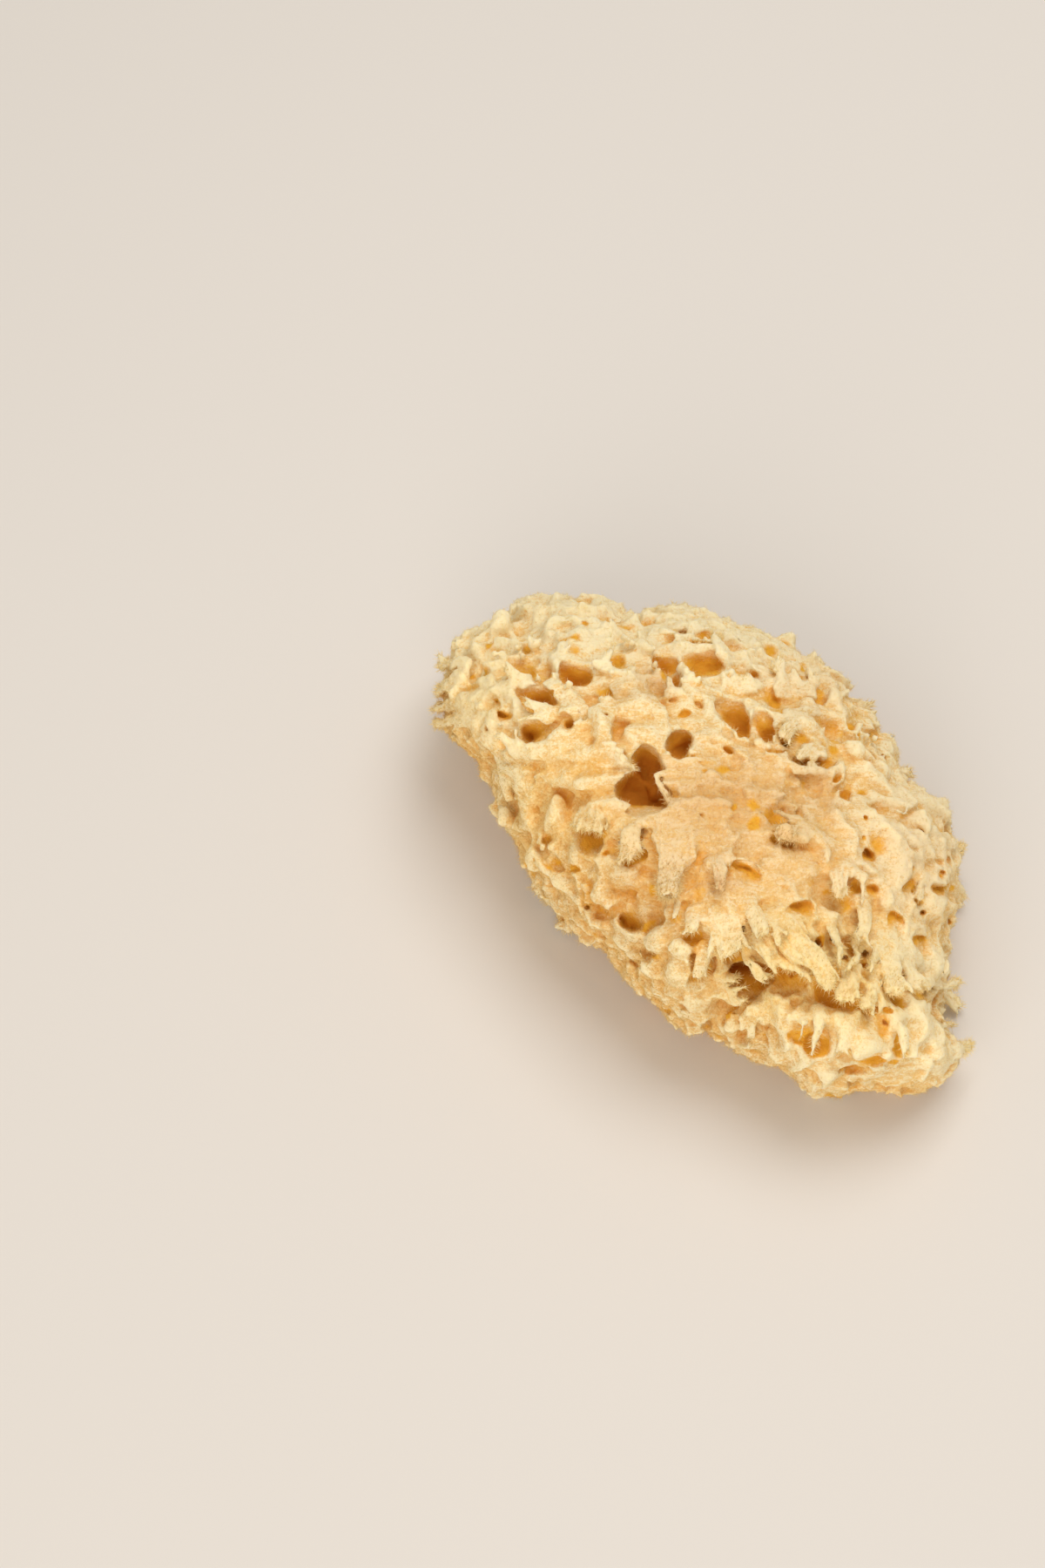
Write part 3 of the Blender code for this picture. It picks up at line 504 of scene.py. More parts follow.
class Clay:
    """A block of cells: how far each is from the skin, negative inside, how much painted shade of a recess it
    takes, and how pale it is.
    """

    def __init__(self, low, high, step):
        self.step = step
        self.low = np.asarray(low, dtype=float)
        self.axes = [np.arange(a, b, step, dtype=np.float32) for a, b in zip(low, high)]
        self.shape = tuple(len(axis) for axis in self.axes)
        self.distance = None
        self.stain = np.zeros(self.shape, dtype=np.float32)
        self.pale = np.zeros(self.shape, dtype=np.float32)
        self.pulled = None

    def fill(self, formula, coarse=2.0):
        """A field from a formula of across, up and out, worked out on a coarse lattice and carried on."""
        axes = [np.arange(axis[0], axis[-1] + 2 * coarse, coarse) for axis in self.axes]
        values = formula(*draw(np.stack(np.meshgrid(*axes, indexing="ij"), axis=-1)))
        weights = [between_cells(fine, rough) for fine, rough in zip(self.axes, axes)]
        return spread(weights, values.astype(np.float32))

    def pull(self, raggedness, rng):
        """Bends the space that pores and tufts are made in: each coordinate is moved by two clouds."""
        self.pulled = []
        for axis in range(3):
            move = cloud(self.axes, (7.0,) * 3, rng) * np.float32(raggedness * 0.6)
            move += cloud(self.axes, (2.6,) * 3, rng) * np.float32(raggedness * 0.22)
            form = [1, 1, 1]
            form[axis] = -1
            self.pulled.append(self.axes[axis].reshape(form) + move)

    def window(self, low, high):
        """The cells between two corners."""
        parts = []
        for k in range(3):
            first = int((low[k] - self.low[k]) / self.step)
            last = int((high[k] - self.low[k]) / self.step) + 2
            parts.append(slice(min(max(first, 0), self.shape[k]), min(max(last, 0), self.shape[k])))
        return tuple(parts)

    def coordinates(self, window):
        """The bent coordinates of a window's cells."""
        return [axis[window] for axis in self.pulled]

    def add(self, window, distance, blend, pale=None):
        """Melts a shape onto the sponge, and marks the cells within a millimetre of it as pale, which takes
        the painted recess shade off them.
        """
        here = self.distance[window]
        self.distance[window] = melt(here, distance, blend)
        if pale is not None:
            mark = pale * np.clip(1.4 - distance / 0.8, 0.0, 1.0)
            self.pale[window] = np.maximum(self.pale[window], mark)
            self.stain[window] *= 1.0 - mark

    def carve(self, window, distance, blend, stain=None):
        """Cuts a shape out of the sponge, and puts painted shade on the cells within a millimetre of the cut.
        """
        here = self.distance[window]
        self.distance[window] = -melt(-here, distance, blend)
        if stain is not None:
            mark = stain * np.clip(1.5 - distance / 1.2, 0.0, 1.0)
            self.stain[window] = np.maximum(self.stain[window], mark)

    def sample(self, field, points, step=None):
        """Values of a field of cells at points, by linear interpolation along all three axes."""
        at = (points - self.low) / (step or self.step)
        limits = np.array(field.shape) - 2
        base = np.clip(np.floor(at).astype(int), 0, limits)
        t = np.clip(at - base, 0.0, 1.0)
        total = np.zeros(len(points))
        for corner in range(8):
            shift = np.array([(corner >> k) & 1 for k in range(3)])
            weight = np.prod(np.where(shift, t, 1.0 - t), axis=1)
            i, j, k = (base + shift).T
            total += weight * field[i, j, k]
        return total


def body_distance(across, up, out):
    """The body's distance: (share^2.4 + height^2.2)^(1/2.3) - 1, over its own slope on a 2 mm lattice."""
    share = np.hypot(across, up) / rim_radius(np.arctan2(up, across))
    height = out + RIM_FALL * up
    bulge = np.where(height > 0, FACE_BULGE + swell(across, up), BACK_BULGE)
    level = (share**SIDE_ROUNDNESS + np.abs(height / bulge) ** TOP_ROUNDNESS) ** (1 / 2.3) - 1.0
    slope = np.sqrt(sum(g**2 for g in np.gradient(level, 2.0)))
    return level / np.maximum(slope, 0.004)


def calmness(across, up, out):
    """1 where the face is smooth felt and 0 where it is lumpy, and 0 behind the rim."""
    height = np.clip((out + RIM_FALL * up) / 12.0, 0.0, 1.0)
    return patches(across, up, CALM_SPOTS) * height


def beside_rod(start, along, x, y, z):
    """Each cell's place beside a rod: t from 0 at its start to 1 at its end, and the offset from there."""
    x, y, z = x - start[0], y - start[1], z - start[2]
    t = (x * along[0] + y * along[1] + z * along[2]) / max(float(along @ along), 1e-6)
    np.clip(t, 0.0, 1.0, out=t)
    return t, (x - t * along[0], y - t * along[1], z - t * along[2])


def nearer_of(best, place_along, distance, here):
    """The smaller of two distances, and the place along the chain that it belongs to."""
    if best is None:
        return distance, here
    nearer = distance < best
    return np.where(nearer, distance, best), np.where(nearer, here, place_along)


def rods(points, radii, x, y, z):
    """Distance to a chain of tapered round-ended rods, and the place along the chain of the nearest rod."""
    best, place_along = None, None
    count = len(points) - 1
    for k in range(count):
        t, offset = beside_rod(points[k], points[k + 1] - points[k], x, y, z)
        distance = np.sqrt(sum(part**2 for part in offset)) - (radii[k] + t * (radii[k + 1] - radii[k]))
        best, place_along = nearer_of(best, place_along, distance, (k + t) / count)
    return best, place_along


def add_finger(clay, points, radii, blend, pale=None):
    """A chain of rods melted onto the sponge; pale gives its paleness at the tip."""
    points = np.asarray(points, dtype=np.float32)
    reach = max(radii) + blend + 2.2
    window = clay.window(points.min(axis=0) - reach, points.max(axis=0) + reach)
    x, y, z = clay.coordinates(window)
    if x.size:
        distance, along = rods(points, radii, x, y, z)
        clay.add(window, distance, blend, None if pale is None else pale * along)


def cut_groove(clay, points, radius, stain):
    """A crease: a chain of rods cut out of the sponge, with painted shade in it."""
    points = np.asarray(points, dtype=np.float32)
    reach = radius + 4.0
    window = clay.window(points.min(axis=0) - reach, points.max(axis=0) + reach)
    x, y, z = clay.coordinates(window)
    if x.size:
        distance, _ = rods(points, [radius] * len(points), x, y, z)
        clay.carve(window, distance, 2.2, stain)


def curve(root, middle, tip, count):
    """Points of a quadratic curve: (1-t)^2 root + 2t(1-t) middle + t^2 tip."""
    t = np.linspace(0.0, 1.0, count)[:, None]
    return (1 - t) ** 2 * root + 2 * t * (1 - t) * middle + t**2 * tip


def add_blade(clay, points, side, half_widths, thicknesses, blends, pale):
    """A flap along a path: each rod's round section is stretched to an oval, wide across the side axis.

    Half width, half thickness and blend run in straight steps from the root to the tip, and so does paleness.
    A sine wave of 0.26 mm across the width, one every 1.5 mm, makes it ribbed.
    """
    points = np.asarray(points, dtype=np.float32)
    reach = max(half_widths) + max(blends) + 2.2
    window = clay.window(points.min(axis=0) - reach, points.max(axis=0) + reach)
    x, y, z = clay.coordinates(window)
    if not x.size:
        return
    best, place_along = None, None
    count = len(points) - 1
    for k in range(count):
        t, (dx, dy, dz) = beside_rod(points[k], points[k + 1] - points[k], x, y, z)
        across = dx * side[0] + dy * side[1] + dz * side[2]
        rest = np.maximum(dx**2 + dy**2 + dz**2 - across**2, 0.0)
        wide = half_widths[k] + t * (half_widths[k + 1] - half_widths[k])
        thick = np.minimum(wide, thicknesses[k] + t * (thicknesses[k + 1] - thicknesses[k]))
        distance = (np.sqrt((across / wide) ** 2 + rest / thick**2) - 1.0) * thick
        best, place_along = nearer_of(best, place_along, distance, (k + t) / count)
    ribs = np.sin((x * side[0] + y * side[1] + z * side[2]) * (2 * math.pi / 1.5))
    best = best + np.float32(0.26) * ribs * np.minimum(1.0, place_along * 3.0)
    blend = blends[0] + (blends[1] - blends[0]) * place_along
    clay.add(window, best, blend, pale * place_along)


def add_tuft(clay, root, tip, normal, root_width, tip_width, lobes, rng):
    """A flap or finger that arches out of the skin and tapers to its tip, with soft uneven lobes there.

    Its half width is 0.5 of root width (1-t)^1.2 + tip width (1 - (1-t)^1.2), times a random number near 1.
    """
    along = unit(tip - root)
    side = unit(np.cross(along, normal))
    top = unit(np.cross(side, along))
    length = np.linalg.norm(tip - root)
    spine = curve(root, (root + tip) / 2 + top * (1.2 + 0.06 * length), tip, 7)
    t = np.linspace(0.0, 1.0, 7)
    taper = (1 - t) ** 1.2
    halves = (root_width * taper + tip_width * (1 - taper)) * 0.5 * rng.uniform(0.85, 1.12, size=7)
    halves[-1] *= 0.8
    thick = np.maximum(0.5, (root_width * 0.26) * (1 - t) + min(1.0, tip_width * 0.35) * t)
    add_blade(clay, spine, side, list(halves), list(thick), (2.6, 0.9), 1.0)
    for i in range(lobes):
        offset = (i + 0.5) / lobes - 0.5 + rng.normal(0.0, 0.06)
        start = spine[4 + i % 2] + side * (offset * tip_width * 0.8)
        reach = rng.uniform(0.15, 0.38) * min(length, 11.0) + 0.8
        way = along + side * (offset * rng.uniform(0.4, 1.3)) + top * rng.normal(0.05, 0.25)
        end = spine[5] + side * (offset * tip_width) + unit(way) * reach
        bend = (start + end) / 2 + top * rng.uniform(0.0, 0.6) + side * rng.normal(0.0, 0.3)
        radius_end = rng.uniform(0.4, 0.6)
        radius = min(rng.uniform(0.7, 1.1), tip_width * 0.4 + 0.25)
        radii = [radius, radius * 0.9, radius * 0.75, radius_end]
        add_finger(clay, curve(start, bend, end, 4), radii, 0.9, 1.0)


def bore(clay, mouth, inward, wide, half_width, half_height, depth, roll=0.0, stain=1.0, blend=0.7):
    """A pore: an oval channel of size 1 at its mouth, which rounds off at its depth and rolls in above.

    With s the way inwards, and u and v the way across as a share of each half size, its distance is
    (sqrt(u^2 + v^2) - size) times the smaller half size, where size = 0.95 sqrt(1 - (s/depth)^2) + flare. The
    flare grows above the mouth, and on the upper side it starts deeper and is stronger by the roll. The
    painted shade on its walls grows with s.
    """
    rise = np.cross(wide, inward)
    over = unit(UP - inward * (UP @ inward))
    small, big = min(half_width, half_height), max(half_width, half_height)
    ends = np.stack((mouth - inward * 5.0, mouth + inward * depth))
    reach = big * (1.3 + roll) + 2.5
    window = clay.window(ends.min(axis=0) - reach, ends.max(axis=0) + reach)
    x, y, z = clay.coordinates(window)
    if not x.size:
        return
    x, y, z = x - mouth[0], y - mouth[1], z - mouth[2]
    s = x * inward[0] + y * inward[1] + z * inward[2]
    u = (x * wide[0] + y * wide[1] + z * wide[2]) / half_width
    v = (x * rise[0] + y * rise[1] + z * rise[2]) / half_height
    above = np.clip(0.5 + (x * over[0] + y * over[1] + z * over[2]) / (1.6 * small), 0.0, 1.0)
    size = np.sqrt(np.clip(1.0 - np.clip(s / depth, 0.0, None) ** 2, 0.0, 1.0)) * 0.95
    rolled = roll * above * np.clip(0.7 - s / (0.55 * depth), 0.0, 1.5) ** 1.5
    size += 0.12 * np.clip(0.4 - s / 3.0, 0.0, 1.5) + rolled
    distance = (np.sqrt(u**2 + v**2) - size) * small
    mark = stain * np.clip((s + 0.18 * depth) / (0.75 * depth), 0.0, 1.0)
    clay.carve(window, distance, blend + 1.6 * above * (roll > 0), mark)


def on_face(across, up, lift=0.0):
    """A point of the face, lifted off it towards the camera."""
    return place(across, up, face_out(across, up) + lift)


def inward_axis(normal, down, lean):
    """The way into a pore: against the normal, turned towards the way down by the lean."""
    return unit(-normal * math.cos(lean) + down * math.sin(lean))


def cut_pocket(clay, across, up, half_width, half_height, turn, bias, depth, blend=0.7):
    """A pocket whose drawn outline is an oval, cut straight in from the camera's side.

    With r the oval's own radius, and h the height in it from -1 to 1, the floor lies at
    depth * sqrt(1 - r^4) * ((1 - bias * h) / (1 + |bias|))^1.25 behind the face's own plane there, so with a
    bias of 1 the upper wall slopes in and the lower lip is steep. The cut is where both (r - 1) times the
    smaller half size and the distance behind the floor are negative. The painted shade in it grows with the
    depth below the uncut skin.
    """
    centre = on_face(across, up)
    back = (face_out(across, up - 1.0) - face_out(across, up + 1.0)) / 2
    aside = (face_out(across - 1.0, up) - face_out(across + 1.0, up)) / 2
    c, s = math.cos(math.radians(turn)), math.sin(math.radians(turn))
    small, big = min(half_width, half_height), max(half_width, half_height)
    tall = math.hypot(half_width * s, half_height * c)
    reach = 1.1 * big + 3.0
    lean = reach * (abs(back) + abs(aside))
    corners = [centre + ACROSS * i * reach + UP * j * reach + OUT * k
               for i in (-1, 1) for j in (-1, 1) for k in (5.0 + lean, -depth - lean - 1.5)]
    window = clay.window(np.min(corners, axis=0), np.max(corners, axis=0))
    x, y, z = clay.coordinates(window)
    if not x.size:
        return
    x, y, z = x - centre[0], y - centre[1], z - centre[2]
    rise = y * UP[1] + z * UP[2]
    behind = -(y * OUT[1] + z * OUT[2]) - back * rise - aside * x
    r = np.sqrt(((x * c + rise * s) / half_width) ** 2 + ((rise * c - x * s) / half_height) ** 2)
    height = np.clip(rise / tall, -1.0, 1.0)
    lean_in = ((1.0 - bias * height) / (1.0 + abs(bias))) ** 1.25
    floor = depth * np.sqrt(np.clip(1.0 - r**4, 0.0, 1.0)) * lean_in
    distance = -melt(-(r - 1.0) * small, -(behind - floor) * 0.8, 1.2)
    mark = np.clip(0.5 * (behind - clay.distance[window]) / (0.6 * depth), 0.0, 1.0)
    clay.carve(window, distance.astype(np.float32), blend, mark)


def widening(up):
    """How much wider than drawn a pocket is cut: more in the crown than in the rest of the face."""
    return CROWN_WIDENING if up > CROWN_FOOT else POCKET_WIDENING


def face_pores(clay):
    """The face's pockets and pinholes."""
    for across, up, half_width, half_height, turn, bias, depth in POCKETS:
        half_width, half_height = half_width * widening(up), half_height * widening(up)
        cut_pocket(clay, across, up, half_width, half_height, turn, bias, depth * POCKET_DEEPENING)
    for across, up, half, depth in PINHOLES:
        cut_pocket(clay, across, up, half, half * 0.9, 0, 0.3, depth, blend=0.5)


def add_lips(clay, rng):
    """Thin torn lips: short pale curls along the lower rim of each wide pocket that slopes in."""
    for across, up, half_width, half_height, turn, bias, _ in POCKETS:
        if bias < 0.6 or half_width < 1.7:
            continue
        wider = widening(up)
        tilt = math.radians(turn)
        c, s = math.cos(tilt), math.sin(tilt)
        for share in np.arange(-0.9, 0.95, 1.3 / half_width) + rng.uniform(-0.2, 0.2):
            angle = share * 1.5 - math.pi / 2
            x = half_width * wider * math.cos(angle)
            y = half_height * wider * math.sin(angle)
            root = on_face(across + x * c - y * s, up + x * s + y * c - 0.5, -0.9)
            way = OUT * rng.uniform(0.5, 1.0) + UP * rng.uniform(-0.1, 0.9) + ACROSS * rng.normal(0.0, 0.5)
            tip = root + unit(way) * rng.uniform(1.0, 2.2)
            bend = (root + tip) / 2 + OUT * rng.uniform(0.0, 0.5)
            base = rng.uniform(0.6, 1.0)
            add_finger(clay, curve(root, bend, tip, 4), [base, base * 0.9, base * 0.7, 0.42], 1.5, 0.8)


def cut_osculum(clay):
    """The great pore: its ovals, a flap and a notch on its left, a ribbon on its right and a fold inside."""
    for across, up, half_width, half_height in OSCULUM:
        cut_pocket(clay, across, up, half_width, half_height, 0, 0.25, OSCULUM_DEPTH)
    flap = ((-31.0, 26.6, -2.0), (-27.4, 25.6, -0.8), (-24.0, 24.0, -0.2), (-20.8, 22.2, 0.2))
    flap = [on_face(*p) for p in flap]
    add_blade(clay, flap, UP, [4.0, 3.0, 2.0, 0.7], [2.0, 1.6, 1.2, 0.7], (2.8, 1.0), 1.0)
    notch = ((-28.0, 13.5, -1.5), (-25.4, 13.2, -0.6), (-23.4, 12.4, -0.2))
    add_finger(clay, [on_face(*p) for p in notch], [2.0, 1.4, 0.9], 1.6, 0.8)
    ribbon = ((-9.2, 20.4, -0.6), (-11.8, 20.6, 0.2), (-13.9, 19.4, 0.5), (-13.9, 17.0, 0.5),
              (-12.4, 14.6, 0.2), (-10.4, 12.2, -0.2), (-9.4, 9.8, -1.0))
    add_finger(clay, [on_face(*p) for p in ribbon], [1.3, 1.0, 0.8, 0.9, 1.0, 1.2, 1.4], 1.0, 0.9)
    fold = ((-15.6, 25.0, -13.5), (-15.0, 20.0, -15.6), (-14.6, 14.0, -15.0))
    add_finger(clay, [on_face(*p) for p in fold], [1.4, 1.7, 1.4], 2.6)


def add_cone(clay, rng):
    """The cone below the great pore: a ribbed flap that narrows to a torn tube with an open end."""
    root_across, root_up, tip_across, tip_up, root_width, tip_width, lift = CONE
    root, tip = on_face(root_across, root_up, -3.0), on_face(tip_across, tip_up, lift)
    along = unit(tip - root)
    side = unit(np.cross(along, face_normal(root_across, root_up)))
    top = unit(np.cross(side, along))
    spine = curve(root, (root + tip) / 2 + top * 2.0, tip, 7)
    halves = [root_width / 2, 5.6, 4.8, 4.1, 3.5, 2.9, tip_width / 2]
    add_blade(clay, spine, side, halves, [3.2, 3.2, 3.0, 2.8, 2.5, 2.3, 2.1], (3.4, 1.0), 1.0)
    for offset in np.linspace(-1.0, 1.0, 7):
        low = 1.0 - 0.55 * offset**2
        points = [spine[k] + side * (offset * halves[k] * 0.85) + top * (low * (1.9 + 0.28 * (6 - k)))
                  for k in (2, 3, 4, 5, 6)]
        points[-1] = points[-1] + along * rng.uniform(0.2, 1.2)
        add_finger(clay, points, [0.45, 0.5, 0.5, 0.45, 0.35], 0.4, 1.0)
    hole = tip_width * 0.27
    # painted shade inside the open end of the tube
    bore(clay, tip + along * 1.2, -along, side, hole, hole, 3.0, stain=0.5, blend=0.4)


def face_tufts(clay, rng):
    """The face's flaps and fingers, each over a hollow that its tip overhangs, with a painted shadow in the
    hollow.
    """
    sites = []
    for root_across, root_up, tip_across, tip_up, root_width, tip_width, lift, lobes in TUFTS:
        root = on_face(root_across, root_up, -0.3 * root_width - 0.6)
        tip = on_face(tip_across, tip_up, lift - 0.5)
        sites.append((root, tip, face_normal(root_across, root_up), root_width, tip_width, lobes))
        half = min(max(0.48 * root_width, 1.6), 4.2)
        if lift > 1.5:
            centre = on_face(tip_across, tip_up, -0.6 * half)
            # a painted shadow under the tip, in the hollow that it overhangs
            add_hollow(clay, centre, unit(tip - root), half, 1.6, 1.0)
    for site in sites:
        add_tuft(clay, *site, rng)


def add_folds(clay):
    """The face's raised folds, creases with painted shade in them, and soft lumps."""
    for radius, *points in RIDGES:
        widths = [radius * 0.8, *[radius] * (len(points) - 2), radius * 0.6]
        add_finger(clay, [on_face(*p, -0.8 * radius) for p in points], widths, radius + 1.8)
    for across, up, radius in LUMPS:
        centre = on_face(across, up, -0.5 * radius)
        top = centre + UP * (0.5 * radius)
        add_finger(clay, [centre, top], [radius, radius * 0.9], 2.2 + 0.4 * radius, 0.25)
    for radius, *points in CREASES:
        cut_groove(clay, [on_face(*p, 0.25 * radius) for p in points], radius, 0.225)


def scatter(count, lowest_arc, highest_arc, rng):
    """Random places on the body, as many for each share of its height: angle and arc."""
    angles = rng.uniform(0.0, 2 * math.pi, size=count)
    arcs = np.arcsin(rng.uniform(math.sin(lowest_arc), math.sin(highest_arc), size=count))
    return zip(angles, arcs)


def add_dishes(clay, count, rng):
    """Shallow bowls everywhere, whose rims meet in a net of soft ridges, with painted shade in the bowls."""
    for angle, arc in scatter(count, -1.1, 1.45, rng):
        point, normal, down = body_frame(angle, arc)
        half = rng.uniform(1.4, 4.2)
        centre = point + normal * (half * rng.uniform(0.3, 0.6))
        add_hollow(clay, centre, down, half, rng.uniform(0.7, 1.5), rng.uniform(0.2, 0.6))


def add_hollow(clay, centre, down, half, stretch, stain):
    """An egg-shaped hollow: distance from its centre less its half size, with the way down stretched, and
    painted shade in it.
    """
    reach = half * max(1.0, stretch) + 3.0
    window = clay.window(centre - reach, centre + reach)
    x, y, z = clay.coordinates(window)
    if not x.size:
        return
    x, y, z = x - centre[0], y - centre[1], z - centre[2]
    fall = x * down[0] + y * down[1] + z * down[2]
    away = np.sqrt(np.maximum(x**2 + y**2 + z**2 - fall**2 * (1.0 - 1.0 / stretch**2), 0.0))
    mark = stain * np.clip(-clay.distance[window] / (0.8 * half), 0.0, 1.0)
    clay.carve(window, (away - half).astype(np.float32), 1.6, mark)


def add_knobs(clay, count, rng):
    """Soft low mounds and blunt knobs everywhere."""
    for angle, arc in scatter(count, -1.1, 1.35, rng):
        point, normal, down = body_frame(angle, arc)
        side = np.cross(normal, down)
        lean = unit(normal + down * rng.uniform(-0.2, 0.9) + side * rng.uniform(-0.5, 0.5))
        radius = rng.uniform(1.2, 2.4)
        root = point - normal * (radius * 0.9)
        tip = root + lean * radius * rng.uniform(0.8, 1.4)
        add_finger(clay, [root, tip], [radius, radius * 0.8], 2.6, 0.2)


def add_flank(clay, pockets, tufts, rng):
    """Pockets and tufts of the flank and the back, which the drawing doesn't show."""
    for angle, arc in scatter(pockets, -1.0, -0.12, rng):
        point, normal, down = body_frame(angle, arc)
        wide = unit(np.cross(normal, down) + down * rng.normal(0.0, 0.5))
        inward = inward_axis(normal, down, rng.uniform(0.2, 0.7))
        wide = unit(wide - inward * (wide @ inward))
        half = rng.uniform(1.6, 4.2)
        half_height, depth = half * rng.uniform(0.6, 1.1), half * rng.uniform(1.6, 2.6)
        # the pockets take the full painted shade on their walls
        bore(clay, point, inward, wide, half, half_height, depth, roll=0.5)
    for angle, arc in scatter(tufts, -1.0, -0.1, rng):
        point, normal, down = body_frame(angle, arc)
        if point[2] < 4.0:
            continue
        side = np.cross(normal, down)
        along = unit(down * rng.uniform(0.2, 1.0) + side * rng.uniform(-0.8, 0.8) + normal * 0.3)
        width = rng.uniform(3.5, 7.0)
        root = point - normal * (0.3 * width)
        tip = point + along * rng.uniform(3.0, 6.0)
        tip_width = width * rng.uniform(0.45, 0.8)
        add_tuft(clay, root, tip, normal, width, tip_width, int(rng.integers(1, 4)), rng)


def add_pits(clay, count, rng):
    """Small round or oval pits everywhere."""
    for angle, arc in scatter(count, -1.1, 1.4, rng):
        point, normal, down = body_frame(angle, arc)
        wide = unit(np.cross(normal, down) + down * rng.normal(0.0, 0.6))
        inward = inward_axis(normal, down, rng.uniform(-0.3, 0.6))
        wide = unit(wide - inward * (wide @ inward))
        half = rng.uniform(0.5, 1.0) if arc > -0.1 else rng.uniform(0.8, 2.0)
        half_height, depth = half * rng.uniform(0.6, 1.0), half * rng.uniform(1.4, 2.6)
        # painted shade in the pits
        bore(clay, point, inward, wide, half, half_height, depth, stain=0.8, blend=0.6)


def grow(form):
    """The whole form: body, lumps, a net of crests where clouds cross zero, pores, folds, flaps and lips."""
    low, high = np.array(CAD_BOX[0]) / MM - GRID_MARGIN, np.array(CAD_BOX[1]) / MM + GRID_MARGIN
    low[2] = -2.0
    clay = Clay(low, high, form.grid_step)
    rng = np.random.default_rng(form.seed)
    clay.distance = clay.fill(body_distance)
    clay.pull(form.raggedness, rng)
    add_knobs(clay, form.knobs, rng)
    add_dishes(clay, form.dishes, rng)
    calm = clay.fill(calmness)
    crests = np.abs(cloud(clay.axes, (5.5,) * 3, rng)) * np.float32(1.8)
    crests += np.abs(cloud(clay.axes, (2.7,) * 3, rng)) * np.float32(0.75)
    clay.distance += (crests - np.float32(1.5)) * (1.0 - 0.6 * calm) + np.float32(0.4)
    clay.distance += cloud(clay.axes, (11.0,) * 3, rng) * np.float32(0.4)
    clay.distance += cloud(clay.axes, (9.0, 1.7, 1.7), rng) * (0.14 + 0.36 * calm)
    clay.distance += cloud(clay.axes, (1.6,) * 3, rng) * np.float32(0.2)
    add_folds(clay)
    add_pits(clay, form.pits, rng)
    face_pores(clay)
    add_lips(clay, rng)
    face_tufts(clay, rng)
    add_flank(clay, form.flank_pockets, form.flank_tufts, rng)
    add_cone(clay, rng)
    cut_osculum(clay)
    clay.distance = np.maximum(clay.distance, -clay.axes[2])
    return clay


def skin_of(clay):
    """The surface where the distance is zero: a point in each cell that it crosses, and four-sided faces.

    A cell's point is the mean of the places where the surface crosses its edges, and each grid edge that it
    crosses gives a face that joins the points of the four cells round that edge.
    """
    field = clay.distance
    inside = field < 0
    count = np.zeros([n - 1 for n in clay.shape], dtype=np.uint8)
    corners = [(i, j, k) for i in (0, 1) for j in (0, 1) for k in (0, 1)]
    for i, j, k in corners:
        count += inside[i : clay.shape[0] - 1 + i, j : clay.shape[1] - 1 + j, k : clay.shape[2] - 1 + k]
    cells = np.argwhere((count > 0) & (count < 8))
    number = np.full(count.shape, -1, dtype=np.int64)
    number[tuple(cells.T)] = np.arange(len(cells))
    values = {corner: field[tuple((cells + corner).T)] for corner in corners}
    total = np.zeros((len(cells), 3))
    hits = np.zeros(len(cells))
    for corner in corners:
        for axis in range(3):
            if corner[axis]:
                continue
            other = tuple(1 if k == axis else corner[k] for k in range(3))
            a, b = values[corner], values[other]
            crossed = (a < 0) != (b < 0)
            share = np.where(crossed, a / np.where(crossed, a - b, 1.0), 0.0)
            spot = np.tile(np.array(corner, dtype=float), (len(cells), 1))
            spot[:, axis] = share
            total += spot * crossed[:, None]
            hits += crossed
    points = clay.low + (cells + total / hits[:, None]) * clay.step
    faces = []
    for axis in range(3):
        second, third = (axis + 1) % 3, (axis + 2) % 3
        before = [slice(None)] * 3
        after = [slice(None)] * 3
        before[axis], after[axis] = slice(0, -1), slice(1, None)
        start, end = inside[tuple(before)], inside[tuple(after)]
        edges = np.argwhere(start != end)
        keep = (edges[:, second] > 0) & (edges[:, third] > 0)
        for k in (second, third):
            keep &= edges[:, k] < clay.shape[k] - 1
        edges = edges[keep]
        ring = []
        for back_second, back_third in ((1, 1), (0, 1), (0, 0), (1, 0)):
            cell = edges.copy()
            cell[:, second] -= back_second
            cell[:, third] -= back_third
            ring.append(number[tuple(cell.T)])
        quads = np.stack(ring, axis=1)
        leaving = start[tuple(edges.T)]
        quads = np.where(leaving[:, None], quads, quads[:, ::-1])
        faces.append(quads)
    return points, np.concatenate(faces)


def largest(points, faces):
    """Drops crumbs and sealed bubbles: each point takes its neighbours' lowest label until none changes."""
    label = np.arange(len(points))
    first, second = faces[:, :2], faces[:, 2:]
    links = np.concatenate((first.reshape(-1, 2), second.reshape(-1, 2), faces[:, 1:3]))
    while True:
        before = label.copy()
        low = np.minimum(label[links[:, 0]], label[links[:, 1]])
        np.minimum.at(label, links[:, 0], low)
        np.minimum.at(label, links[:, 1], low)
        label = label[label]
        label = label[label]
        if np.array_equal(before, label):
            break
    names, sizes = np.unique(label, return_counts=True)
    kept = label == names[np.argmax(sizes)]
    number = np.cumsum(kept) - 1
    faces = number[faces[kept[faces[:, 0]]]]
    return points[kept], faces


def relax(points, faces):
    """Moves each point half of the way to the mean of its neighbours."""
    starts = faces.reshape(-1)
    ends = np.roll(faces, -1, axis=1).reshape(-1)
    here, there = np.concatenate((starts, ends)), np.concatenate((ends, starts))
    count = len(points)
    total = np.stack([np.bincount(here, points[there, k], count) for k in range(3)], axis=1)
    mean = total / np.bincount(here, minlength=count)[:, None]
    return points + (mean - points) * 0.5


def normals_of(points, faces):
    """Each point's normal: the sum of its faces' normals, from the cross product of their diagonals."""
    cross = np.cross(points[faces[:, 2]] - points[faces[:, 0]], points[faces[:, 3]] - points[faces[:, 1]])
    total = np.zeros_like(points)
    for corner in range(4):
        for k in range(3):
            total[:, k] += np.bincount(faces[:, corner], cross[:, k], len(points))
    return unit(total)


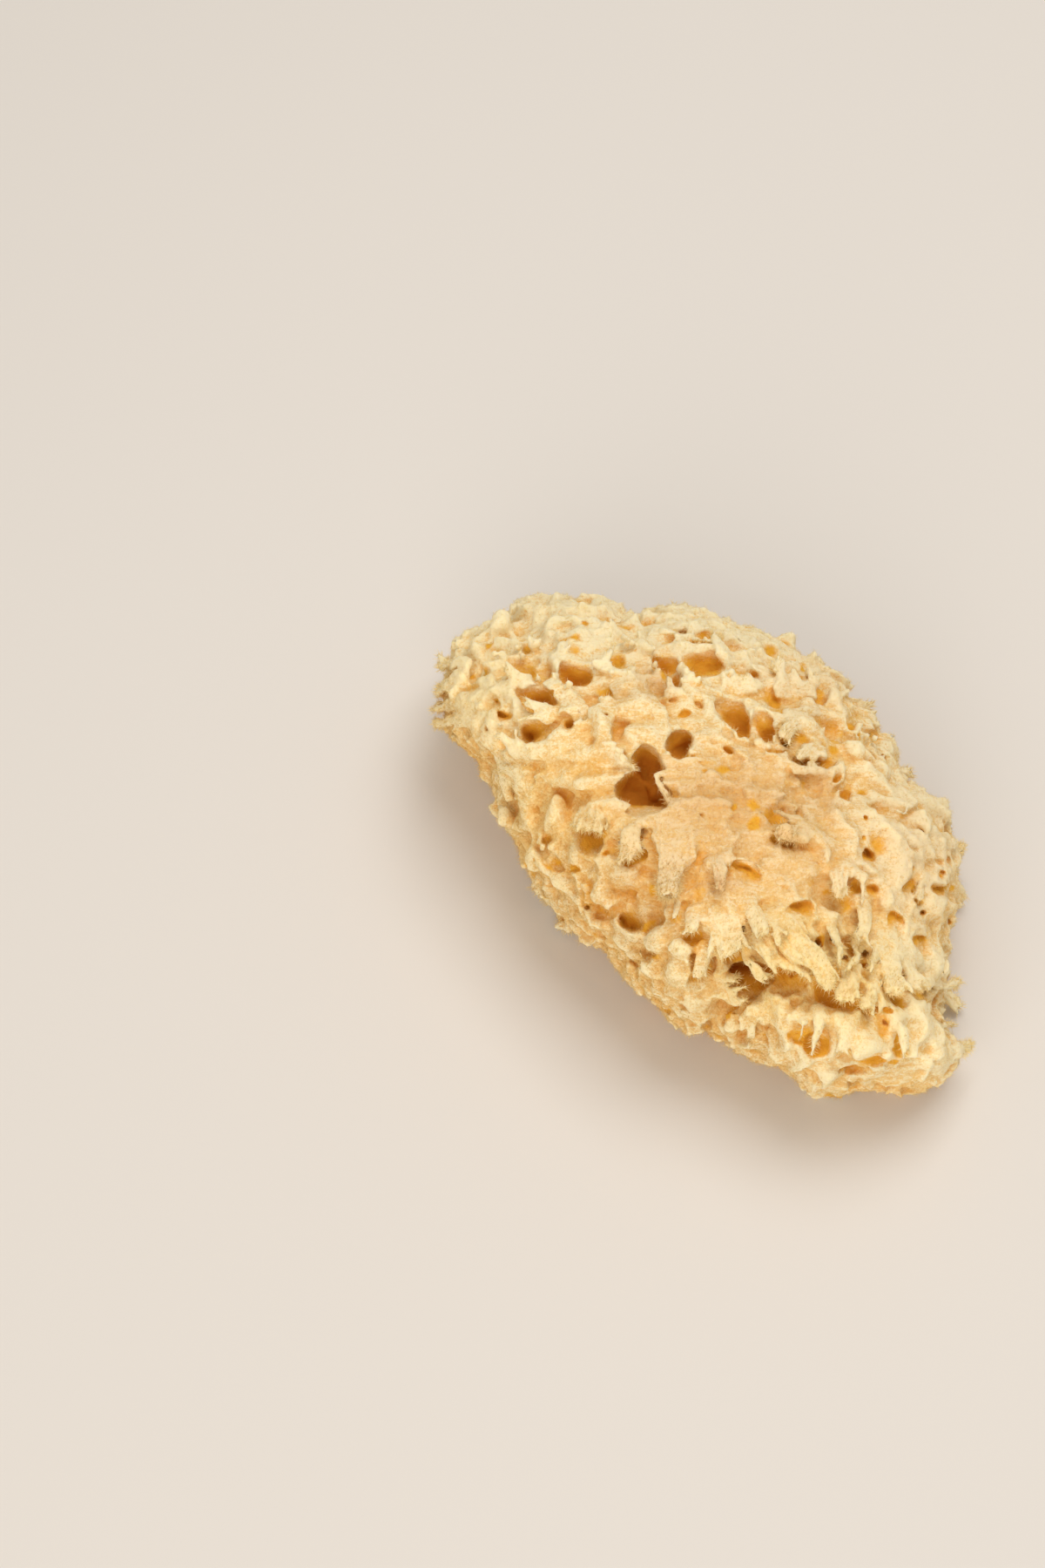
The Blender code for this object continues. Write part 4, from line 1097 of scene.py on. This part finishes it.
def lattice_value(cell, seed):
    """A fixed random number between 0 and 1 for each whole-numbered cell."""
    mixed = cell[..., 0] * 73856093 ^ cell[..., 1] * 19349663 ^ cell[..., 2] * 83492791 ^ seed * 2654435761
    mixed = (mixed ^ (mixed >> 13)) * 1274126177 & 0x7FFFFFFF
    mixed = (mixed ^ (mixed >> 16)) & 0xFFFFFF
    return mixed / float(0xFFFFFF)


def grain(points, spacing, seed):
    """Value noise at points, from -1 to 1: lattice numbers blended by 3t^2 - 2t^3 along each axis."""
    at = points / spacing
    base = np.floor(at).astype(np.int64)
    t = at - base
    t = t * t * (3.0 - 2.0 * t)
    total = np.zeros(len(points))
    for corner in range(8):
        shift = np.array([(corner >> k) & 1 for k in range(3)])
        total += np.prod(np.where(shift, t, 1.0 - t), axis=1) * lattice_value(base + shift, seed)
    return total * 2.0 - 1.0


def roughen(points, normals):
    """Fine relief along the normals: soft grain, and streaks across the face or, on the flaps, down it."""
    across, rise, out = points @ ACROSS, points @ UP, points @ OUT
    sideways = grain(np.stack((across / 4.0, rise, out), axis=1), 1.1, 41)
    downward = grain(np.stack((across + 0.4 * rise, rise / 5.0, out), axis=1), 1.0, 43)
    falling = patches(*draw(points)[:2], LEMON_SPOTS)
    move = 0.16 * grain(points, 1.4, 3) + 0.10 * grain(points, 0.8, 5)
    move += 0.22 * sideways * (1.0 - falling) + 0.34 * downward * falling
    move *= np.clip(points[:, 2] / 1.5, 0.0, 1.0)
    return points + normals * move[:, None]


def crowding(clay, sigma):
    """How much sponge lies round every second cell: the filled share of space, blurred by a Gaussian."""
    filled = np.clip(0.5 - clay.distance / clay.step, 0.0, 1.0)[::2, ::2, ::2]
    return spread([blur_weights(n, sigma / (2 * clay.step)) for n in filled.shape], filled)


def set_values(mesh, name, values):
    """Stores one number at each point of a mesh."""
    attribute = mesh.attributes.new(name, "FLOAT", "POINT")
    attribute.data.foreach_set("value", np.asarray(values, dtype=np.float32))


def read_table(collection, field, width):
    """One field of all the items of a mesh, as a table with this many columns."""
    table = np.empty(len(collection) * width, dtype=np.float32)
    collection.foreach_get(field, table)
    return table.reshape(-1, width).astype(float)


def read_points(mesh):
    """The points of a mesh in mm."""
    return read_table(mesh.vertices, "co", 3) / MM


def read_normals(mesh):
    """The normals of a mesh's points."""
    return read_table(mesh.vertex_normals, "vector", 3)


def read_values(mesh, name):
    """The numbers that set_values stored."""
    return read_table(mesh.attributes[name].data, "value", 1)[:, 0]


def new_piece(name, points, faces, material):
    """A mesh object from points in mm and a table of faces, smooth, that rides with the sponge's body."""
    mesh = bpy.data.meshes.new(name)
    sides = faces.shape[1]
    mesh.vertices.add(len(points))
    mesh.vertices.foreach_set("co", (points * MM).astype(np.float32).ravel())
    mesh.loops.add(faces.size)
    mesh.loops.foreach_set("vertex_index", faces.astype(np.int32).ravel())
    mesh.polygons.add(len(faces))
    mesh.polygons.foreach_set("loop_start", np.arange(0, faces.size, sides, dtype=np.int32))
    mesh.update(calc_edges=True)
    mesh.materials.append(material)
    mesh.shade_smooth()
    piece = bpy.data.objects.new(name, mesh)
    bpy.context.scene.collection.objects.link(piece)
    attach(piece, BODY)
    return piece


def narrowing(height):
    """How much the skin is drawn in before it is thinned: 1 on the face, and down to 0.42 behind the rim."""
    t = np.clip((height + 14.0) / 18.0, 0.0, 1.0)
    return 0.42 + 0.58 * t * t * (3.0 - 2.0 * t)


def squeeze(points):
    """Points drawn in behind the rim, so that thinning by size spends its triangles on the face."""
    across, up, out = draw(points)
    height = out + RIM_FALL * up
    share = narrowing(height)
    return np.stack((across * share, up * share, height), axis=1)


def unsqueeze(points):
    """The inverse of squeeze."""
    share = narrowing(points[:, 2])
    across, up = points[:, 0] / share, points[:, 1] / share
    return place(across, up, points[:, 2] - RIM_FALL * up)


def thin(piece, triangles):
    """Thins a piece to a number of triangles and keeps the result."""
    piece.data.calc_loop_triangles()
    have = len(piece.data.loop_triangles)
    if have <= triangles:
        return
    modifier = piece.modifiers.new("thin", "DECIMATE")
    modifier.ratio = triangles / have
    bpy.context.view_layer.update()
    graph = bpy.context.evaluated_depsgraph_get()
    mesh = bpy.data.meshes.new_from_object(piece.evaluated_get(graph))
    piece.modifiers.clear()
    old = piece.data
    piece.data = mesh
    bpy.data.meshes.remove(old)
    mesh.name = piece.name


def wire(tree, kind, inputs=None, **options):
    """A new node with its options set, and its inputs set or linked by name or number."""
    node = tree.nodes.new(kind)
    for key, value in options.items():
        setattr(node, key, value)
    for key, value in (inputs or {}).items():
        if isinstance(value, bpy.types.NodeSocket):
            tree.links.new(value, node.inputs[key])
        else:
            node.inputs[key].default_value = value
    return node


def maths(tree, operation, first, second):
    """One sum, difference or product of two numbers."""
    return wire(tree, "ShaderNodeMath", {0: first, 1: second}, operation=operation).outputs[0]


def blend_colour(tree, share, first, second):
    """A colour between two others, by the share of the second."""
    node = wire(tree, "ShaderNodeMix", {0: share, 6: first, 7: second}, data_type="RGBA")
    return node.outputs[2]


def step_between(tree, value, low, high):
    """A smooth step from 0 at low to 1 at high."""
    node = wire(tree, "ShaderNodeMapRange", {"Value": value, "From Min": low, "From Max": high},
                interpolation_type="SMOOTHSTEP")
    return node.outputs[0]


def group_tree(name, inputs, outputs):
    """A node group with named sockets; returns the tree, its inputs' node and its outputs' node."""
    tree = bpy.data.node_groups.new(name, "ShaderNodeTree")
    for label, kind, value in inputs:
        socket = tree.interface.new_socket(label, in_out="INPUT", socket_type=kind)
        socket.default_value = value
    for label, kind in outputs:
        tree.interface.new_socket(label, in_out="OUTPUT", socket_type=kind)
    return tree, tree.nodes.new("NodeGroupInput"), tree.nodes.new("NodeGroupOutput")


def felt_group():
    """Felted fibre: fine tangled grain, and strands that run across the face or, on the flaps, down it."""
    tree, given, result = group_tree(
        "Felted fibre", [("Fall", "NodeSocketFloat", 0.0)],
        [("Height", "NodeSocketFloat"), ("Mottle", "NodeSocketFloat"), ("Blotch", "NodeSocketFloat")])
    place_node = wire(tree, "ShaderNodeTexCoord").outputs["Object"]
    tangle = wire(tree, "ShaderNodeTexNoise", {
        "Vector": place_node, "Scale": 1400.0, "Detail": 4.0, "Roughness": 0.65,
        "Distortion": 0.6}).outputs[0]
    slanted = wire(tree, "ShaderNodeMapping", {
        "Vector": place_node, "Rotation": (FACE_RISE, 0.0, 0.0), "Scale": (0.24, 1.0, 1.0)}).outputs[0]
    level = wire(tree, "ShaderNodeTexNoise", {
        "Vector": slanted, "Scale": 1000.0, "Detail": 3.0, "Roughness": 0.6, "Distortion": 1.2}).outputs[0]
    upright = wire(tree, "ShaderNodeMapping", {
        "Vector": place_node, "Rotation": (FACE_RISE - math.pi / 2, 0.0, -0.35)}).outputs[0]
    drooping = wire(tree, "ShaderNodeMapping", {"Vector": upright, "Scale": (1.0, 0.2, 1.0)}).outputs[0]
    falling = wire(tree, "ShaderNodeTexNoise", {
        "Vector": drooping, "Scale": 1000.0, "Detail": 3.0, "Roughness": 0.6, "Distortion": 0.8}).outputs[0]
    strand = wire(tree, "ShaderNodeMix", {0: given.outputs["Fall"], 2: level, 3: falling}).outputs[0]
    blotch = wire(tree, "ShaderNodeTexNoise", {
        "Vector": slanted, "Scale": 380.0, "Detail": 3.0, "Distortion": 0.8}).outputs[0]
    both = maths(tree, "ADD", maths(tree, "MULTIPLY", tangle, 0.55), maths(tree, "MULTIPLY", strand, 0.45))
    tree.links.new(both, result.inputs["Height"])
    tree.links.new(maths(tree, "SUBTRACT", both, 0.5), result.inputs["Mottle"])
    tree.links.new(blotch, result.inputs["Blotch"])
    return tree


def spongin_group():
    """Spongin's colour: cream in the open, and painted shade over it: flesh and ochre in the shade, amber and
    brown in the pores.

    The hollow, which sets most of the painted shade, is made uneven by the blotches and the mottle, and less
    by paleness. Each colour then covers the one before it by a smooth step of the hollow, of the painted
    shade of the recesses, or at last of 0.8 of the depth and 0.45 of the painted shade of the recesses.
    """
    colour, number = "NodeSocketColor", "NodeSocketFloat"
    numbers = {"Hollow": 0.5, "Depth": 0.0, "Stain": 0.0, "Pale": 0.0, "Orange": 0.0, "Lemon": 0.0,
               "Mottle": 0.0, "Blotch": 0.5}
    inputs = [(label, number, value) for label, value in numbers.items()]
    inputs += [(label, colour, (1.0, 1.0, 1.0, 1.0)) for label in COLOUR_LABELS]
    tree, given, result = group_tree("Spongin colour", inputs, [("Color", colour)])
    from_input = given.outputs
    uneven = maths(tree, "MULTIPLY", maths(tree, "SUBTRACT", from_input["Blotch"], 0.5), 0.36)
    uneven = maths(tree, "ADD", uneven, maths(tree, "MULTIPLY", from_input["Mottle"], -1.3))
    hollow = maths(tree, "ADD", from_input["Hollow"], uneven)
    hollow = maths(tree, "SUBTRACT", hollow, maths(tree, "MULTIPLY", from_input["Pale"], 0.09))
    stain = maths(tree, "ADD", from_input["Stain"], maths(tree, "MULTIPLY", uneven, 0.5))
    sunk = maths(tree, "MULTIPLY", from_input["Depth"], 0.8)
    sunk = maths(tree, "ADD", sunk, maths(tree, "MULTIPLY", from_input["Stain"], 0.45))
    # painted shade: flesh, ochre, amber and deep cover the tip colour where the skin is hollow, turned from
    # the light, in a recess or deep in a pore
    base = blend_colour(tree, step_between(tree, hollow, *FLESH_STEP), from_input["Tip"], from_input["Flesh"])
    base = blend_colour(tree, maths(tree, "MULTIPLY", from_input["Lemon"], 0.45), base, LEMON_TINT)
    base = blend_colour(tree, maths(tree, "MULTIPLY", from_input["Orange"], 0.70), base, ORANGE_TINT)
    base = blend_colour(tree, step_between(tree, hollow, *OCHRE_STEP), base, from_input["Ochre"])
    base = blend_colour(tree, step_between(tree, hollow, *AMBER_HOLLOW_STEP), base, from_input["Amber"])
    base = blend_colour(tree, step_between(tree, stain, *AMBER_RECESS_SHADE_STEP), base, from_input["Amber"])
    base = blend_colour(tree, step_between(tree, sunk, *DEEP_STEP), base, from_input["Deep"])
    tree.links.new(base, result.inputs["Color"])
    return tree


def sponge_material(colours, name, bump, glow, golden):
    """Matt spongin: the colour and felt groups, relief by the bump, and light that enters by the glow.

    The golden share takes 0.06 of the green and 0.3 of the blue out of every colour.
    """
    material = bpy.data.materials.new(name)
    material.use_nodes = True
    tree = material.node_tree
    shader = tree.nodes["Principled BSDF"]
    felt_tree = bpy.data.node_groups.get("Felted fibre") or felt_group()
    colour_tree = bpy.data.node_groups.get("Spongin colour") or spongin_group()
    felt = wire(tree, "ShaderNodeGroup", node_tree=felt_tree)
    tint = wire(tree, "ShaderNodeGroup", node_tree=colour_tree)
    for name_of_value in VALUE_NAMES:
        value = wire(tree, "ShaderNodeAttribute", attribute_name=name_of_value).outputs["Fac"]
        tree.links.new(value, tint.inputs[name_of_value.capitalize()])
        if name_of_value == "lemon":
            tree.links.new(value, felt.inputs["Fall"])
    for label in ("Mottle", "Blotch"):
        tree.links.new(felt.outputs[label], tint.inputs[label])
    for label in COLOUR_LABELS:
        red, green, blue = getattr(colours, label.lower())
        green, blue = green * (1.0 - 0.06 * golden), blue * (1.0 - 0.3 * golden)
        tint.inputs[label].default_value = (red, green, blue, 1.0)
    tree.links.new(tint.outputs["Color"], shader.inputs["Base Color"])
    shader.inputs["Roughness"].default_value = 0.85
    shader.inputs["Specular IOR Level"].default_value = 0.08
    shader.inputs["Subsurface Weight"].default_value = glow
    shader.inputs["Subsurface Radius"].default_value = (0.9, 0.8, 0.55)
    shader.inputs["Subsurface Scale"].default_value = 0.002
    if bump:
        relief = wire(tree, "ShaderNodeBump", {
            "Height": felt.outputs["Height"], "Strength": bump, "Distance": 0.0012})
        tree.links.new(relief.outputs[0], shader.inputs["Normal"])
    return material


def mark_values(mesh, clay):
    """Stores the values that the colours need at each point of the skin, most of them for painted shade.

    The hollow, which sets the painted shade, is 0.45, 0.3 and 0.4 of how crowded space is 0.8 mm off the
    skin,
    1.6 mm off it and 5 mm towards the light, less a share where the face is paler. The depth, which sets the
    painted shade deep in the pores, is the way below the plain body, over 14 mm.
    """
    spots = read_points(mesh)
    normals = read_normals(mesh)
    across, up, _ = draw(spots)
    step = 2 * clay.step
    fine = clay.sample(crowding(clay, 0.8), spots + normals * 0.8, step)
    near = clay.sample(crowding(clay, 2.2), spots + normals * 1.6, step)
    wide = clay.sample(crowding(clay, 5.0), spots + TOWARD_LIGHT * 5.0, step)
    depth = -clay.sample(clay.fill(body_distance), spots) / DEEPEST
    faded = PALER_SHARE * patches(across, up, PALE_SPOTS)
    set_values(mesh, "hollow", 0.45 * fine + 0.3 * near + 0.4 * wide - faded)
    set_values(mesh, "depth", np.clip(depth, 0.0, 1.0))
    set_values(mesh, "stain", clay.sample(clay.stain, spots))
    set_values(mesh, "pale", clay.sample(clay.pale, spots))
    set_values(mesh, "orange", patches(across, up, ORANGE_SPOTS))
    set_values(mesh, "lemon", patches(across, up, LEMON_SPOTS))


class SPONGE_OT_skin(bpy.types.Operator):
    """Grows the sponge's skin as one closed surface in place of its plain solid"""

    bl_idname = "sponge.skin"
    bl_label = "Grow skin"

    def execute(self, context):
        form, colours = context.scene.sponge_form, context.scene.sponge_colours
        clay = grow(form)
        grown["clay"] = clay
        points, faces = largest(*skin_of(clay))
        points = relax(points, faces)
        points = roughen(points, normals_of(points, faces))
        points[:, 2] = np.maximum(points[:, 2], 0.0)
        material = sponge_material(colours, "spongin", bump=0.5, glow=0.4, golden=0.0)
        piece = new_piece(SKIN, squeeze(points), faces, material)
        thin(piece, form.skin_triangles)
        points = unsqueeze(read_points(piece.data))
        points[points[:, 2] < CUT_FACE_REACH, 2] = 0.0
        piece.data.vertices.foreach_set("co", (points * MM).astype(np.float32).ravel())
        piece.data.update()
        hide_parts(SOLID)
        mark_values(piece.data, clay)
        return {"FINISHED"}


def spikes(roots, middles, tips, radius, ends):
    """Closed three-sided hairs: rings of three points at the root and the bends, and one point at the tip.

    A ring's points are the path's point plus radius times cos and sin of a third of a turn each, on two axes
    square to the way; middles is a list of bends, and ends the radius at each ring as a share of the root's.
    """
    paths = [roots, *middles]
    way = unit(tips - roots)
    first = unit(np.cross(way, np.where(np.abs(way[:, 2:]) < 0.8, (0.0, 0.0, 1.0), (1.0, 0.0, 0.0))))
    second = np.cross(way, first)
    rings = []
    for path, share in zip(paths, ends):
        for k in range(3):
            turn = 2 * math.pi * k / 3
            rings.append(path + (first * math.cos(turn) + second * math.sin(turn)) * radius[:, None] * share)
    points = np.stack((*rings, tips), axis=1)
    count = points.shape[1]
    table = [(2, 1, 0)]
    for ring in range(len(paths) - 1):
        for k in range(3):
            a, b = 3 * ring + k, 3 * ring + (k + 1) % 3
            table += [(a, b, b + 3), (a, b + 3, a + 3)]
    last = 3 * (len(paths) - 1)
    table += [(last + k, last + (k + 1) % 3, count - 1) for k in range(3)]
    faces = np.array(table)[None] + (np.arange(len(points)) * count)[:, None, None]
    return points.reshape(-1, 3), faces.reshape(-1, 3), count


class Coat:
    """Where hairs grow: the skin's triangles, normals and colour values, and which way is open space."""

    def __init__(self, clay, mesh):
        mesh.calc_loop_triangles()
        corners = np.empty(len(mesh.loop_triangles) * 3, dtype=np.int32)
        mesh.loop_triangles.foreach_get("vertices", corners)
        self.corners = corners.reshape(-1, 3)
        self.points = read_points(mesh)
        self.normals = read_normals(mesh)
        self.values = {name: read_values(mesh, name) for name in VALUE_NAMES}
        a, b, c = (self.points[self.corners[:, k]] for k in range(3))
        self.areas = np.linalg.norm(np.cross(b - a, c - a), axis=1) / 2
        self.centres = (a + b + c) / 3
        slopes = np.gradient(crowding(clay, 1.6), 2 * clay.step)
        crowded_way = np.stack([clay.sample(slope, self.points, 2 * clay.step) for slope in slopes], axis=1)
        self.free = -unit(crowded_way)

    def mean(self, table):
        """Each triangle's mean of a table of the points' values."""
        return table[self.corners].mean(axis=1)

    def grow(self, count, weight, rng):
        """Random roots, as many for each part of the skin as its area times its weight."""
        share = np.cumsum(self.areas * weight)
        chosen = self.corners[np.searchsorted(share, rng.uniform(0.0, share[-1], size=count))]
        mix = rng.dirichlet((1.0, 1.0, 1.0), size=count)
        roots, normals, free = ((table[chosen] * mix[..., None]).sum(axis=1)
                                for table in (self.points, self.normals, self.free))
        values = {name: (table[chosen] * mix).sum(axis=1) for name, table in self.values.items()}
        return roots, unit(normals), unit(free), values

    def weights(self):
        """How thickly felt and fringes grow on each triangle.

        Both thin out with depth and on skin that faces away. Felt grows thicker along the face's lower left
        edge, and fringes where the skin is palest.
        """
        depth = self.mean(self.values["depth"])
        pale = self.mean(self.values["pale"])
        across, up, _ = draw(self.centres)
        open_skin = np.clip(1.15 - depth * 2.0, 0.05, 1.0) * (self.centres[:, 2] > 0.8)
        seen = np.where(self.mean(self.normals) @ OUT > -0.25, 1.0, 0.35)
        edge = 1.0 + 1.5 * np.exp(-(((across + 0.9 * up + 48.0) / 16.0) ** 2))
        felt = open_skin * seen * edge * (1.0 - 0.3 * np.clip(pale, 0.0, 1.0))
        fringe = (np.clip((pale - 0.55) / 0.45, 0.0, 1.0) + 0.001) * open_skin * seen
        return felt, fringe


def add_hairs(name, coat, count, weight, kind, material, rng):
    """A piece of hairs that leave the skin at a slant, towards open space, and bend as they go.

    Each hair's path is its root plus the length times t along its way, and the length times t^3 aside.
    """
    bends, length, radius, lift, paler = kind
    roots, normals, free, values = coat.grow(count, weight, rng)
    around = unit(rng.normal(size=(count, 3)))
    around = unit(around - normals * (around * normals).sum(axis=1, keepdims=True))
    rise = rng.uniform(*lift, size=(count, 1))
    way = unit(normals * rise + around + free * rise * 0.8)
    long = rng.uniform(*length, size=(count, 1))
    aside = np.cross(way, normals) * rng.normal(0.0, 0.22, size=(count, 1)) - normals * 0.12
    roots = roots - normals * 0.12
    tips = roots + way * long + aside * long
    middles = [roots + way * long * t + aside * long * t**3 for t in (np.arange(1, bends + 1) / (bends + 1))]
    wide = rng.uniform(*radius, size=count)
    ends = np.linspace(1.0, 0.45, bends + 1)
    points, faces, each = spikes(roots, middles, tips, wide, ends)
    points[:, 2] = np.maximum(points[:, 2], 0.0)
    piece = new_piece(name, points, faces, material)
    shares = np.append(np.repeat(np.arange(bends + 1) / (bends + 1), 3), 1.0)
    # each hair carries the painted shade of its root, lighter towards its tip
    for label in VALUE_NAMES:
        along_hair = np.repeat(values[label], each)
        if label == "hollow":
            along_hair -= np.tile(shares, count) * paler
        set_values(piece.data, label, along_hair)


class SPONGE_OT_hairs(bpy.types.Operator):
    """Grows the felt of fine hairs and the coarser fringes of the torn edges"""

    bl_idname = "sponge.hairs"
    bl_label = "Grow felt and fringes"

    def execute(self, context):
        form, colours = context.scene.sponge_form, context.scene.sponge_colours
        coat = Coat(grown["clay"], bpy.data.objects[SKIN].data)
        felt, fringe = coat.weights()
        material = sponge_material(colours, "spongin hair", bump=0.0, glow=0.0, golden=1.0)
        rng = np.random.default_rng(form.seed + 100)
        add_hairs("sponge_felt_1", coat, form.felt_hairs, felt, SHORT_HAIR, material, rng)
        add_hairs("sponge_felt_2", coat, form.felt_hairs, felt, SHORT_HAIR, material, rng)
        add_hairs("sponge_felt_3", coat, form.curly_hairs, felt, CURLY_HAIR, material, rng)
        add_hairs("sponge_fringe", coat, form.fringe_hairs, fringe, FRINGE_HAIR, material, rng)
        return {"FINISHED"}


def floor_material(colour):
    """Matt paper with a faint cloudiness."""
    material = bpy.data.materials.new("studio floor")
    material.use_nodes = True
    tree = material.node_tree
    shader = tree.nodes["Principled BSDF"]
    place_node = wire(tree, "ShaderNodeTexCoord").outputs["Object"]
    cloudy = wire(tree, "ShaderNodeTexNoise", {"Vector": place_node, "Scale": 3.0}).outputs[0]
    shade = blend_colour(tree, cloudy, (*colour, 1.0), (*(part * 0.985 for part in colour), 1.0))
    tree.links.new(shade, shader.inputs["Base Color"])
    shader.inputs["Roughness"].default_value = 0.9
    shader.inputs["Specular IOR Level"].default_value = 0.1
    return material


def new_floor(material):
    """A square floor just under the sponge."""
    mesh = bpy.data.meshes.new("floor")
    half = FLOOR_SIDE / 2
    corners = [(x * half, y * half, FLOOR_HEIGHT) for x, y in ((-1, -1), (1, -1), (1, 1), (-1, 1))]
    mesh.from_pydata(corners, [], [(0, 1, 2, 3)])
    mesh.materials.append(material)
    floor = bpy.data.objects.new("floor", mesh)
    bpy.context.scene.collection.objects.link(floor)
    return floor


def add_light(name, place_of_light, size, power, colour):
    """A square soft light that faces the sponge."""
    light = bpy.data.lights.new(name, "AREA")
    light.shape = "SQUARE"
    light.size = size
    light.energy = power
    light.color = colour
    lamp = bpy.data.objects.new(name, light)
    lamp.location = place_of_light
    lamp.rotation_mode = "QUATERNION"
    lamp.rotation_quaternion = (-Vector(place_of_light)).to_track_quat("-Z", "Y")
    bpy.context.scene.collection.objects.link(lamp)


def add_sky(context):
    """A plain pale world that lights all sides."""
    world = bpy.data.worlds.new("studio")
    world.use_nodes = True
    background = world.node_tree.nodes["Background"]
    background.inputs["Color"].default_value = SKY_COLOUR
    background.inputs["Strength"].default_value = SKY_STRENGTH
    context.scene.world = world


def set_camera(context):
    """The camera looks straight at the drawing from the eye's place."""
    data = bpy.data.cameras.new("camera")
    data.lens = CAMERA_LENS
    data.sensor_width = CAMERA_SENSOR
    camera = bpy.data.objects.new("camera", data)
    axes = Matrix((ACROSS, UP, OUT)).transposed()
    eye = ACROSS * EYE_ACROSS + UP * EYE_UP + OUT * EYE_DISTANCE + (0.0, 0.0, DRAWING_HEIGHT)
    camera.matrix_world = Matrix.Translation(eye * MM) @ axes.to_4x4()
    context.scene.collection.objects.link(camera)
    context.scene.camera = camera


class SPONGE_OT_stage(bpy.types.Operator):
    """Lays the pale floor, hangs the soft lights and sets the camera"""

    bl_idname = "sponge.stage"
    bl_label = "Set stage"

    def execute(self, context):
        floor = new_floor(floor_material(context.scene.sponge_colours.floor))
        add_light("key", *KEY_LIGHT)
        add_light("fill", *FILL_LIGHT)
        add_sky(context)
        set_camera(context)
        context.scene.view_settings.view_transform = "Standard"
        return {"FINISHED"}


class SPONGE_PT_panel(bpy.types.Panel):
    """Shows the sponge's operators and settings"""

    bl_idname = "SPONGE_PT_panel"
    bl_label = "Sea sponge"
    bl_space_type = "VIEW_3D"
    bl_region_type = "UI"
    bl_category = "Sponge"

    def draw(self, context):
        for operator in OPERATORS:
            self.layout.operator(operator.bl_idname)
        for settings in (context.scene.sponge_form, context.scene.sponge_colours):
            for name in settings.bl_rna.properties.keys():
                if name not in ("rna_type", "name"):
                    self.layout.prop(settings, name)


OPERATORS = (SPONGE_OT_skin, SPONGE_OT_hairs, SPONGE_OT_stage)
CLASSES = (SpongeForm, SpongeColours, *OPERATORS, SPONGE_PT_panel)


def register():
    """Adds the settings, the operators and the panel."""
    for cls in CLASSES:
        bpy.utils.register_class(cls)
    bpy.types.Scene.sponge_form = PointerProperty(type=SpongeForm)
    bpy.types.Scene.sponge_colours = PointerProperty(type=SpongeColours)


def unregister():
    """Takes away what register added."""
    del bpy.types.Scene.sponge_colours
    del bpy.types.Scene.sponge_form
    for cls in reversed(CLASSES):
        bpy.utils.unregister_class(cls)


def main():
    """Makes every piece and the stage."""
    register()
    bpy.ops.sponge.skin()
    bpy.ops.sponge.hairs()
    bpy.ops.sponge.stage()


if __name__ == "__main__":
    main()
